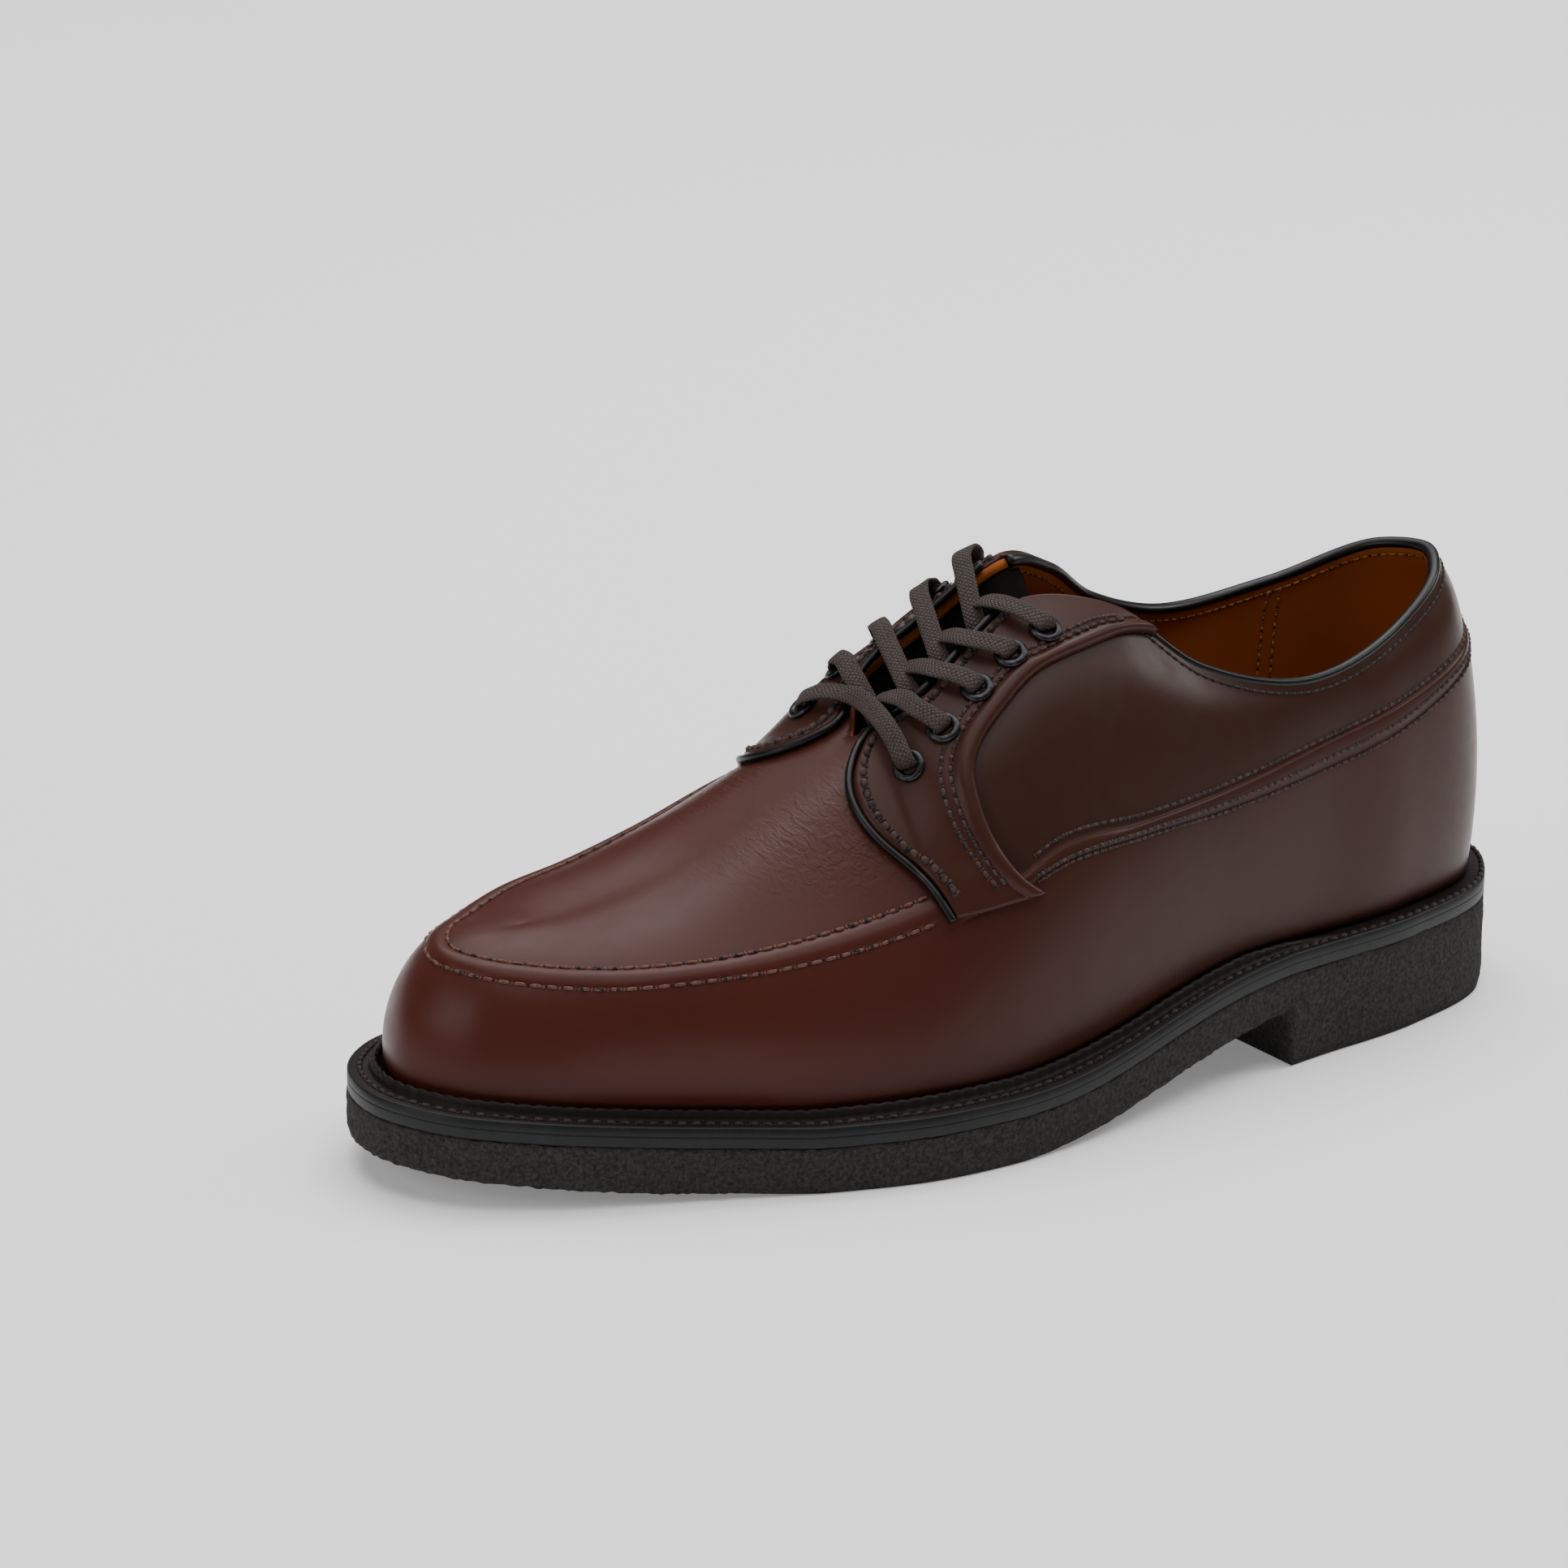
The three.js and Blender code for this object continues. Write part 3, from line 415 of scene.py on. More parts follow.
def rubber(name, dark, light, grain_mm, depth_mm, rough):
    material, tree, shader = new_material(name)
    where = add(tree, "TexCoord").outputs["Object"]
    lumps = add(tree, "TexNoise", {"Vector": where, "Scale": 1000 / grain_mm / 2, "Detail": 6,
                                   "Roughness": 0.7}).outputs["Fac"]
    tree.links.new(ramp(tree, lumps, 0.35, 0.7, linear(dark), linear(light)), shader.inputs["Base Color"])
    bump = add(tree, "Bump", {"Height": lumps, "Strength": 1.0, "Distance": depth_mm / 1000})
    tree.links.new(bump.outputs["Normal"], shader.inputs["Normal"])
    shader.inputs["Roughness"].default_value = rough
    shader.inputs["Specular IOR Level"].default_value = 0.25
    return material


crepe_rubber = rubber("granular_crepe_rubber", "#272625", "#55524f", 0.5, 2.4, 0.95)
midsole_rubber = rubber("trimmed_midsole_rubber", "#131414", "#1c1d1d", 3, 0.08, 0.5)


def thread(name, dark, light):
    material, tree, shader = new_material(name)
    where = add(tree, "TexCoord").outputs["Object"]
    ply = add(tree, "TexNoise", {"Vector": where, "Scale": 900, "Detail": 2}).outputs["Fac"]
    tree.links.new(ramp(tree, ply, 0.3, 0.7, linear(dark), linear(light)), shader.inputs["Base Color"])
    bump = add(tree, "Bump", {"Height": ply, "Strength": 0.5, "Distance": 0.0001})
    tree.links.new(bump.outputs["Normal"], shader.inputs["Normal"])
    shader.inputs["Roughness"].default_value = 0.75
    return material


apron_thread = thread("waxed_apron_thread", "#4a2820", "#74483b")
dark_thread = thread("dark_waxed_thread", "#2a1a16", "#4a3028")
welt_thread = thread("dark_welt_thread", "#19110e", "#30221c")
lining_thread = thread("tan_lining_thread", "#8a5220", "#b0743a")

# Painted shade: needle holes are not cut, so a near-black disc stands for the shade inside each hole.
hole_shade_paint = thread("painted_shade_in_stitch_holes", "#050303", "#0a0606")

# %% Woven lace and gunmetal
lace_weave, tree, shader = new_material("flat_waxed_cotton_lace")
strand = add(tree, "UVMap", uv_map="UVMap").outputs["UV"]
slant = add(tree, "Mapping", {"Vector": strand, "Rotation": (0, 0, math.radians(45))})
checks = add(tree, "TexVoronoi", {"Vector": slant.outputs["Vector"], "Scale": 1.3, "Randomness": 0.2},
             distance="CHEBYCHEV").outputs["Distance"]
tree.links.new(ramp(tree, checks, 0.1, 0.6, linear("#3f2b22"), linear("#0d0807")), shader.inputs["Base Color"])
bump = add(tree, "Bump", {"Height": checks, "Strength": 1.0, "Distance": 0.0005}, invert=True)
tree.links.new(bump.outputs["Normal"], shader.inputs["Normal"])
shader.inputs["Roughness"].default_value = 0.65

gunmetal, tree, shader = new_material("blackened_brass_eyelet")
where = add(tree, "TexCoord").outputs["Object"]
wear = add(tree, "TexNoise", {"Vector": where, "Scale": 700, "Detail": 3}).outputs["Fac"]
tree.links.new(ramp(tree, wear, 0.35, 0.75, linear("#242326"), linear("#48464a")), shader.inputs["Base Color"])
tree.links.new(ramp(tree, wear, 0.3, 0.7, grey(0.28), grey(0.42)), shader.inputs["Roughness"])
shader.inputs["Metallic"].default_value = 0.9


# %% [markdown]
# The upper is one hollow form. Seams are low relief of it: round the toe a rolled band stands up
# between two rows of thread, and behind the facing the lower panel laps over the quarter.

# %% Seams on the last
BAND_INNER = np.array([[9, 1.081], [10, 1.089], [10.8, 1.097], [11.4, 1.112], [12.2, 1.143],
                       [13.2, 1.174], [14.1, 1.181], [15, 1.174]])
LAP_LINE = np.array([[0, 1.12], [1, 1.1], [2, 1.02], [2.9, 1.01], [3.8, 0.99], [5, 1.0],
                     [6, 1.025], [6.9, 1.01], [9, 1.0]])


lap_curve = smooth_curve(LAP_LINE[:, 1:], False, np.diff(LAP_LINE[:, 0]))


def half_turn(u):
    u = np.asarray(u, float) % COUNT
    return np.minimum(u, COUNT - u)


def band_inner(u):
    return np.interp(half_turn(u), BAND_INNER[:, 0], BAND_INNER[:, 1])


def lap_line(u):
    where = np.interp(half_turn(u), LAP_LINE[:, 0], np.arange(len(LAP_LINE)))
    return lap_curve(where)[:, 0]


def rib_mm(u):
    return np.linalg.norm(last_point(u, 1.05) - last_point(u, 0.95), axis=1) / 0.1


def soft(x):
    x = np.clip(x, 0, 1)
    return x * x * (3 - 2 * x)


BAND_HEIGHT = 0.9
LAP_HEIGHT = 0.55


def relief(u, v):
    u, v = np.broadcast_arrays(np.atleast_1d(np.asarray(u, float)), v)
    fore = fore_share(u)
    share = np.clip((v - 0.99) / (band_inner(u) - 0.99), 0, 1)
    band = BAND_HEIGHT * np.sin(math.pi * share) ** 0.7
    below = (lap_line(u) - v) * rib_mm(u)
    lap = LAP_HEIGHT * soft(below / 0.9)
    roll = 0.22 * np.sin(math.pi * np.clip((below - 0.3) / 4.6, 0, 1))
    groove = -0.16 * np.exp(-((below - 4.3) / 0.8) ** 2) - 0.08 * np.exp(-((below + 0.7) / 0.5) ** 2)
    return fore * band + (1 - fore) * (lap + roll + groove)


# %% Upper
RIBS = 360
rib_u = np.arange(RIBS) * COUNT / RIBS
outer_v = np.concatenate([np.linspace(0, 0.84, 18), np.linspace(0.86, 1.24, 58), np.linspace(1.27, 2, 26)])
inner_v = np.linspace(2, 0, 22)
uu, vo = (a.ravel() for a in np.meshgrid(rib_u, outer_v, indexing="ij"))
top_twin = np.where((uu > TOE) & (uu <= COUNT - THROAT) & (vo == 2), COUNT - uu, uu)
outer = lifted(top_twin, vo, relief(uu, vo) * (vo < 2)).reshape(RIBS, -1, 3)
ui, vi = (a.ravel() for a in np.meshgrid(rib_u, inner_v, indexing="ij"))
in_twin = np.where((ui > TOE) & (ui <= COUNT - THROAT) & (vi == 2), COUNT - ui, ui)
inner = lifted(in_twin, vi, -UPPER_WALL).reshape(RIBS, -1, 3)
rings = np.concatenate([outer, inner], axis=1)
ring_size = rings.shape[1]
rim_row = len(outer_v) - 1
closed_rib = (rib_u >= THROAT) & (rib_u < COUNT - THROAT)


def upper_skip(r, k):
    return closed_rib[r] and k == rim_row


faces = wrap_faces(RIBS, ring_size, True, upper_skip)
which = [0 if f[0] % ring_size < rim_row else 1 for f in faces]
low_tone = 0.82 - 0.68 * soft((half_turn(uu) - 5) / 6)
dark_share = np.where((vo > lap_line(uu)) & (fore_share(uu) < 0.5), 1.0, low_tone)
CREASES = [[9.5, 1.45, 0.7, 0.2, 0.8], [9.7, 1.7, 0.8, 0.16, 0.5], [20.5, 1.45, 0.7, 0.2, 0.8]]
crease = sum(depth * np.exp(-((uu - cu) / wu) ** 2 - ((vo - cv) / wv) ** 2)
             for cu, cv, wu, wv, depth in CREASES)
tone = np.concatenate([dark_share.reshape(RIBS, -1), np.full(inner.shape[:2], 0.5)], axis=1).ravel()
upper = mesh_piece("upper_shell", rings.reshape(-1, 3), faces, [waxed_leather, lining_leather], which,
                   attributes={"tone": tone, "crease": np.concatenate(
                       [crease.reshape(RIBS, -1), np.zeros(inner.shape[:2])], axis=1).ravel()})
# The two halves of the apron meet in a faint ridge along the middle, which is smoothed away
apron = upper.vertex_groups.new(name="apron")
table = np.zeros(len(upper.data.vertices) * 3)
upper.data.vertices.foreach_get("co", table)
table = table.reshape(-1, 3) * 1000
samples = last_point(uu, vo)
inside_apron = (fore_share(uu) >= 1) & (vo > 1.4)
core = samples[inside_apron]
strength = np.clip((vo[inside_apron] - 1.4) / 0.35, 0, 1)

tree_3d = KDTree(len(core))
for i, p in enumerate(core):
    tree_3d.insert(Vector(p), i)
tree_3d.balance()
for i, p in enumerate(table):
    _, hit, gap = tree_3d.find(Vector(p))
    if gap < 1.2:
        apron.add([i], float(strength[hit]), "REPLACE")
smooth = upper.modifiers.new("ridge", "SMOOTH")
smooth.vertex_group, smooth.iterations, smooth.factor = "apron", 70, 0.5
bpy.context.view_layer.objects.active = upper
bpy.ops.object.modifier_apply(modifier="ridge")
shown(upper, "upper", "upper")
print("upper", len(upper.data.polygons))

# %% [markdown]
# Each facing is a second layer of leather that carries the eyelets. Its rear edge is folded into
# a rounded band, and its front edge is closed by dark piping.

# %% Facings
FACING = [
    [6.05, 2, 4.5, 2], [6.5, 2, 5.1, 1.79], [7.1, 2, 5.7, 1.65], [7.7, 2, 6.4, 1.585],
    [8.35, 1.98, 7, 1.53], [8.9, 1.9, 7.35, 1.47], [9.22, 1.75, 7.5, 1.38], [9.3, 1.57, 7.5, 1.27],
    [9.22, 1.38, 7.42, 1.17], [9, 1.21, 7.2, 1.07], [8.65, 1.08, 6.9, 1], [8.41, 0.96, 6.5, 0.88],
]
EYELETS = [[8.55, 1.62], [7.75, 1.74], [7.05, 1.76], [6.4, 1.77], [5.85, 1.81]]
facing_curve = smooth_curve(FACING, False, np.ones(len(FACING) - 1))
SIDES = [("outer", lambda u: u), ("inner", lambda u: COUNT - u)]


def facing_base(u, v):
    return np.max([relief(u, v + shift) for shift in (0, -0.04, 0.04, -0.09, 0.09)], axis=0) + GAP


def facing_lift(u, v):
    return facing_base(u, v) + FACING_THICKNESS


def calm(grid, rounds):
    for _ in range(rounds):
        grid = grid.copy()
        grid[:, 1:-1] = (grid[:, :-2] + 2 * grid[:, 1:-1] + grid[:, 2:]) / 4
        grid[1:-1] = (grid[:-2] + 2 * grid[1:-1] + grid[2:]) / 4
    return grid


facing_grids = {}
FACING_ROWS, FACING_COLUMNS = 150, 64
EDGE_ROUND = 1.1
EDGE_BAND = 4.6
for name, at in SIDES:
    rows = facing_curve(np.linspace(0, len(FACING) - 1, FACING_ROWS))
    f = np.linspace(0, 1, FACING_COLUMNS)
    u = at(rows[:, 0:1] + (rows[:, 2:3] - rows[:, 0:1]) * f)
    v = np.minimum(2, rows[:, 1:2] + (rows[:, 3:4] - rows[:, 1:2]) * f)
    flat = lifted(u.ravel(), v.ravel(), 0).reshape(FACING_ROWS, FACING_COLUMNS, 3)
    steps = np.linalg.norm(np.diff(flat, axis=1), axis=2)
    along = np.concatenate([np.zeros((FACING_ROWS, 1)), np.cumsum(steps, axis=1)], axis=1)
    from_rear = along[:, -1:] - along
    tail = np.linalg.norm(flat - flat[-1:], axis=2)
    edge = np.minimum(np.minimum(along, from_rear), tail)
    rounding = np.sqrt(1 - (1 - np.clip(edge / EDGE_ROUND, 0, 1)) ** 2)
    band = 0.7 * np.sin(math.pi * np.clip(from_rear / EDGE_BAND, 0, 1))
    band = band - 0.3 * np.exp(-((from_rear - EDGE_BAND - 0.5) / 0.6) ** 2)
    base = facing_base(u.ravel(), v.ravel()).reshape(u.shape)
    shape = (FACING_ROWS, FACING_COLUMNS, 3)
    skin = calm(lifted(u.ravel(), v.ravel(), base.ravel()).reshape(shape), 24)
    normal = unit(calm(last_normal(u.ravel(), v.ravel()).reshape(shape), 40))
    top = skin + normal * (FACING_THICKNESS * (0.15 + 0.85 * rounding) + band)[..., None]
    facing_grids[name] = (top, normal, along)
    under = lifted(u.ravel(), v.ravel(), (base - 0.15).ravel()).reshape(FACING_ROWS, FACING_COLUMNS, 3)
    loop = np.concatenate([top, under[:, ::-1]], axis=1)
    size = loop.shape[1]
    faces = wrap_faces(FACING_ROWS, size, False)[:-2]
    for base_row in (0, (FACING_ROWS - 1) * size):
        for k in range(FACING_COLUMNS - 1):
            faces.append((base_row + k, base_row + k + 1, base_row + size - 2 - k, base_row + size - 1 - k))
    piece = mesh_piece(f"facing_leather_{name}", loop.reshape(-1, 3), faces, [waxed_leather],
                       attributes={"tone": np.full(loop.shape[0] * size, 0.72)})
    shown(piece, "facing", f"facing_{name}")


# %% [markdown]
# Piping is a thin strip of leather rolled round a cord. It is a round tube along an edge.

# %% Piping
def tube(path, radius_a, radius_b, wide, segments=14, square=1.0):
    """Rings round a path. wide is the direction of radius_a at each point."""
    path, wide = np.asarray(path), np.asarray(wide)
    run = unit(np.gradient(path, axis=0))
    wide = unit(wide - run * (wide * run).sum(1, keepdims=True))
    high = np.cross(wide, run)
    a = np.arange(segments) * 2 * math.pi / segments
    ca = np.sign(np.cos(a)) * np.abs(np.cos(a)) ** square
    sa = np.sign(np.sin(a)) * np.abs(np.sin(a)) ** square
    return (path[:, None] + wide[:, None] * (ca * radius_a)[None, :, None]
            + high[:, None] * (sa * radius_b)[None, :, None])


def even(path, count, extra=()):
    """The path resampled at even steps through a smooth curve, with matching rows of extras."""
    path = np.asarray(path, float)
    size = np.concatenate([[0], np.cumsum(np.linalg.norm(np.diff(path, axis=0), axis=1))])
    curve = smooth_curve(np.column_stack([path, *extra]), False, np.diff(size))
    where = np.interp(np.linspace(0, size[-1], count), size, np.arange(len(path)))
    return curve(where)


def alongside(u, v):
    return unit(last_point(u, v) - last_point(u, v - 0.05))


COLLAR_RADIUS = 1.2
collar_u = np.linspace(6, -6, 181)
two = np.full(len(collar_u), 2.0)
collar = lifted(collar_u, two, -UPPER_WALL / 2) + alongside(collar_u, two) * 0.5
rings = tube(collar, 1.55, COLLAR_RADIUS, last_normal(collar_u, two))
piece = mesh_piece("collar_piping", rings.reshape(-1, 3), wrap_faces(len(collar), 14, False),
                   [piping_leather], attributes={"tone": np.full(rings.shape[0] * 14, 0.3)})
shown(piece, "binding", "collar_binding")

PIPING_RADIUS = 0.95
for name, at in SIDES:
    where = np.linspace(0.5, len(FACING) - 1, 60)
    rows = facing_curve(where)

    def edge_point(k):
        row = facing_curve(np.minimum(len(FACING) - 1, k))
        u, v = at(row[:, 0]), np.minimum(2, row[:, 1])
        return lifted(u, v, facing_base(u, v) + 0.85)
    edge = edge_point(where)
    for _ in range(10):
        edge[1:-1] = (edge[:-2] + 2 * edge[1:-1] + edge[2:]) / 4
    normal = last_normal(at(rows[:, 0]), np.minimum(2, rows[:, 1]))
    out = unit(np.cross(edge_point(where + 0.2) - edge_point(where - 0.2), normal))
    inward = lifted(at(rows[:, 2]), rows[:, 3], 0) - edge
    out = out * -np.sign((out * inward).sum(1, keepdims=True))
    out[-1] = out[-2]
    path = even(edge + out * (PIPING_RADIUS + 0.1), 160, [normal])
    rings = tube(path[:, :3], PIPING_RADIUS, PIPING_RADIUS, path[:, 3:])
    piece = mesh_piece(f"facing_piping_{name}", rings.reshape(-1, 3), wrap_faces(160, 14, False),
                       [piping_leather], attributes={"tone": np.full(160 * 14, 0.3)})
    shown(piece, "binding", f"facing_binding_{name}")


# %% [markdown]
# The sole is three layers. A layer is built from rows across the shoe, closer at toe and heel.

# %% Raw edge of the lower rear panel
raw_edge = leather("raw_cut_leather_edge", "#52261a", "#3a1c14", 0.7, 0.8, coat=0.0)
lap_u = np.linspace(-6.9, 6.9, 500)
lap_v = lap_line(lap_u) - 0.35 / rib_mm(lap_u)
path = lifted(lap_u, lap_v, relief(lap_u, lap_v) - 0.05)
rings = tube(path, 0.18, 0.16, last_normal(lap_u, lap_v), 8)
piece = mesh_piece("lap_raw_edge", rings.reshape(-1, 3), wrap_faces(len(path), 8, False), [raw_edge],
                   attributes={"tone": np.full(len(path) * 8, 0.4)})
shown(piece, "upper")


# %% Sole layers
def layer_rows(inset, shares):
    u = np.arange(COUNT * 40) / 40
    loop = outline_at(u, inset(u) if callable(inset) else inset)
    tip, heel = int(loop[:, 1].argmax()), int(loop[:, 1].argmin())
    turned = np.roll(loop, -heel, axis=0)
    tip = (tip - heel) % len(loop)
    one, other = turned[:tip + 1], np.vstack([turned[tip:], turned[:1]])[::-1]
    t = loop[:, 1].min() + (loop[:, 1].max() - loop[:, 1].min()) * shares
    first = np.interp(t, one[:, 1], one[:, 0])
    second = np.interp(t, other[:, 1], other[:, 0])
    return np.maximum(first, second), np.minimum(first, second), t


def layer(name, insets, heights, under, over, materials, rough=0.0, rows=260, extra=(), across=14):
    """insets and heights (shares from under to over) give the wall's profile, from bottom to top."""
    shares = (1 - np.cos(math.pi * np.arange(rows + 1) / rows)) / 2
    shares = np.sort(np.concatenate([shares, np.asarray(extra) / SHOE_LENGTH]))
    walls = []
    for inset, height in zip(insets, heights):
        right_x, left_x, t = layer_rows(inset, shares)
        z = under(t) + (over(t) - under(t)) * height
        walls.append((np.column_stack([right_x, t, z]), np.column_stack([left_x, t, z])))
    loop = [w[0] for w in walls]
    top_right, top_left = walls[-1]
    loop += [top_right + (top_left - top_right) * f for f in np.linspace(0, 1, across)[1:-1]]
    loop += [w[1] for w in reversed(walls)]
    low_right, low_left = walls[0]
    loop += [low_left + (low_right - low_left) * f for f in np.linspace(0, 1, across)[1:-1]]
    rings = np.stack([place(p) for p in loop], axis=1)
    points = rings.reshape(-1, 3)
    if rough:
        for p in points:
            p += np.array(noise.noise_vector(Vector(p) * 0.55)) * rough * min(1, max(0, p[2] / 2))
    return mesh_piece(name, points, wrap_faces(len(shares), rings.shape[1], False), materials,
                      attributes={"tone": np.full(len(points), 0.5)})


def midsole_top(t):
    return welt_top(t) - WELT_THICKNESS


def crepe_top(t):
    return midsole_top(t) - MIDSOLE_THICKNESS


def ground(t):
    bevel = np.clip(1 - t / 7, 0, 1)
    slope = np.clip((t - HEEL_BREAST) / BREAST_SLOPE, 0, 1)
    return np.where(t < HEEL_BREAST, 3 * bevel ** 2, slope * sole_under(t))


wall = np.linspace(0, 1, 9)
outsole = layer("crepe_outsole", [0.5] + [0.0] * 7 + [0.2], wall, ground, lambda t: crepe_top(t) - 0.05,
                [crepe_rubber], rough=0.4, rows=330, extra=(HEEL_BREAST, HEEL_BREAST + BREAST_SLOPE))
shown(outsole, "crepe", "outsole")
midsole = layer("midsole_edge", [0.25, 0.05, 0.0, 0.0], [0, 0.15, 0.85, 1], crepe_top,
                lambda t: midsole_top(t) - 0.05, [midsole_rubber])
shown(midsole, "midsole", "midsole")
insole = layer("insole_sock", [lambda u: ledge_rail(u)[:, 0] + UPPER_WALL + 1.2] * 2, [0, 1],
               lambda t: welt_top(t) + GAP, lambda t: welt_top(t) + GAP + 3, [lining_leather])
shown(insole, "insole", "insole")

# %% Welt with its storm bead
WELT_STEPS = 1400
RIB_PITCH = 3.4
u = np.arange(WELT_STEPS) * COUNT / WELT_STEPS
ledge = ledge_rail(u)[:, 0]
bead = BEAD_HEIGHT * np.clip(u - 2.7, 0, 1) * np.clip(COUNT - 3.7 - u, 0, 1)
bead_in = ledge - BEAD_TO_UPPER
bead_out = bead_in - BEAD_WIDTH
profile = [(0 * u, 0 * u), (0 * u, 0 * u + 0.3), (0 * u, 0 * u + 1.9), (0 * u + 0.4, 0 * u + WELT_THICKNESS)]
profile += [(bead_out - 0.4, 0 * u + WELT_THICKNESS)]
middle = (bead_in + bead_out) / 2
line = outline_at(u, middle)
size = np.cumsum(np.linalg.norm(np.diff(line, axis=0, prepend=line[-1:]), axis=1))
for angle in np.linspace(math.pi, 0, 9):
    rib = 1 - 0.11 * (0.5 + 0.5 * np.sin(size * 2 * math.pi / RIB_PITCH + angle * 1.4)) ** 2
    profile.append((middle + math.cos(angle) * BEAD_WIDTH / 2 * rib,
                    WELT_THICKNESS + bead * math.sin(angle) ** 0.6 * rib))
profile += [(ledge + WELT_SEAT, 0 * u + WELT_THICKNESS), (ledge + WELT_SEAT, 0 * u)]
rings = []
for inset, height in profile:
    p = outline_at(u, inset)
    rings.append(place(np.column_stack([p, midsole_top(p[:, 1]) + height])))
rings = np.stack(rings, axis=1)
faces = wrap_faces(WELT_STEPS, rings.shape[1], True)
trimmed = [1 if f[0] % rings.shape[1] < 3 else 0 for f in faces]
welt = mesh_piece("stitched_welt", rings.reshape(-1, 3), faces, [welt_leather, midsole_rubber], trimmed, attributes={"tone": np.full(rings.shape[0] * rings.shape[1], 0.4)})
shown(welt, "welt", "welt")

# %% [markdown]
# The tongue lies under both facings and fills the gap between them. Its near-black colour is painted shade of the
# throat.

# %% Tongue
TONGUE_ROWS, TONGUE_SIDE, TONGUE_MIDDLE = 40, 14, 16
rows = []
for lateral in np.linspace(8.9, 5.8, TONGUE_ROWS):
    shelf = -UPPER_WALL - GAP - 0.4
    va = np.linspace(1.38, 2, TONGUE_SIDE)
    first = lifted(np.full(TONGUE_SIDE, lateral), va, shelf)
    second = lifted(np.full(TONGUE_SIDE, COUNT - lateral), va[::-1], shelf)
    first_n = last_normal(np.full(TONGUE_SIDE, lateral), va)
    second_n = last_normal(np.full(TONGUE_SIDE, COUNT - lateral), va[::-1])
    f = np.linspace(0, 1, TONGUE_MIDDLE)[1:-1, None]
    high = np.vstack([first, first[-1] + (second[0] - first[-1]) * f, second])
    normal = unit(np.vstack([first_n, first_n[-1] + (second_n[0] - first_n[-1]) * f, second_n]))
    rows.append(np.vstack([high, (high - normal * 2.4)[::-1]]))
rings = np.stack(rows)
tongue = mesh_piece("tongue_leather", rings.reshape(-1, 3), wrap_faces(TONGUE_ROWS, rings.shape[1], False),
                    [tongue_leather], attributes={"tone": np.full(rings.shape[0] * rings.shape[1], 1.0)})
shown(tongue, "tongue", "tongue")

# %% [markdown]
# An eyelet is a short metal tube whose edge is rolled over into a flange. One is modelled and
# copied to the ten places.

# %% Eyelets
EYELET_SEAT = 0.45
bpy.ops.mesh.primitive_torus_add(major_radius=0.00295, minor_radius=0.00095, major_segments=40,
                                 minor_segments=14)
pattern = bpy.context.object
for vertex in pattern.data.vertices:
    vertex.co.z = max(vertex.co.z * 0.75, -0.0004)
for name, at in SIDES:
    for i, (u, v) in enumerate(EYELETS):
        seat = lifted(at(u), v, facing_lift(at(u), v) + EYELET_SEAT)[0] / 1000
        turn = Vector(last_normal(at(u), v)[0]).to_track_quat("Z", "Y").to_matrix().to_4x4()
        eyelet = pattern.copy()
        eyelet.data = pattern.data.copy()
        eyelet.name = f"eyelet_ring_{name}_{i + 1}"
        bpy.context.scene.collection.objects.link(eyelet)
        eyelet.data.transform(Matrix.Translation(Vector(seat)) @ turn)
        eyelet.data.materials.append(gunmetal)
        eyelet.data.shade_smooth()
        shown(eyelet, "eyelet", f"eyelet_{name}_{i + 1}")
bpy.data.objects.remove(pattern)

# %% [markdown]
# The lace is a flat woven band. It comes up through an eyelet, bends over the facing's edge and
# dives under its twin from the other side. The lowest pair is one bar straight across.

# %% Laces
LACE_WIDTH, LACE_THICKNESS = 4.8, 1.1
NEAR_RUNS = [8.5, 8.05, 7.5, 6.95, 6.3]
FAR_RUNS = [8.5, 7.95, 7.35, 6.8, 6.35]
NEAR_DIVES = [8.6, 8.6, 7.98, 7.4, 6.75]
LACE_SEAT = 2.0
LACE_SEGMENTS = 18


def over_facing(at, i, runs, loop=0.0):
    u, v = EYELETS[i]
    f = np.array([0, 0.35, 0.7, 1])
    uu, vv = at(u) + (at(runs[i]) - at(u)) * f, v + (2 - v) * f
    lift = facing_lift(uu, vv) + LACE_SEAT + np.array([-0.3, 0.9 + 0.4 * loop, 1.0 + 1.4 * loop, 0.5 + 1.3 * loop])
    points = lifted(uu, vv, lift)
    hole = lifted(at(u), v, facing_lift(at(u), v) - 1.2)
    raw = u + (runs[i] - u) * f
    wide = unit(last_point(at(raw - 0.2), vv) - last_point(at(raw + 0.2), vv))
    return np.vstack([hole, points]), np.vstack([wide[:1], wide])


def lace_mesh(name, runs, nodes):
    points, faces, total, uvs = [], [], 0, []
    for path, wide in runs:
        count = 90
        fine = even(path, count, [wide])
        rings = tube(fine[:, :3], LACE_WIDTH / 2, LACE_THICKNESS / 2, fine[:, 3:], LACE_SEGMENTS, 0.75)
        length = np.linalg.norm(np.diff(fine[:, :3], axis=0), axis=1).sum()
        faces += [tuple(total + i for i in f) for f in wrap_faces(count, LACE_SEGMENTS, False)]
        points.append(rings.reshape(-1, 3))
        a = np.cos(np.arange(LACE_SEGMENTS) * 2 * math.pi / LACE_SEGMENTS) * LACE_WIDTH / 2
        s = np.linspace(0, length, count)
        uvs.append(np.stack(np.meshgrid(s, a, indexing="ij"), axis=-1).reshape(-1, 2))
        total += count * LACE_SEGMENTS
    piece = mesh_piece(name, np.vstack(points), faces, [lace_weave], merge=False)
    layer_uv = piece.data.uv_layers.new(name="UVMap")
    flat = np.vstack(uvs)
    corner = np.zeros(len(piece.data.loops), np.int32)
    piece.data.loops.foreach_get("vertex_index", corner)
    layer_uv.data.foreach_set("uv", flat[corner].astype(np.float32).ravel())
    shown(piece, "lace", *nodes)


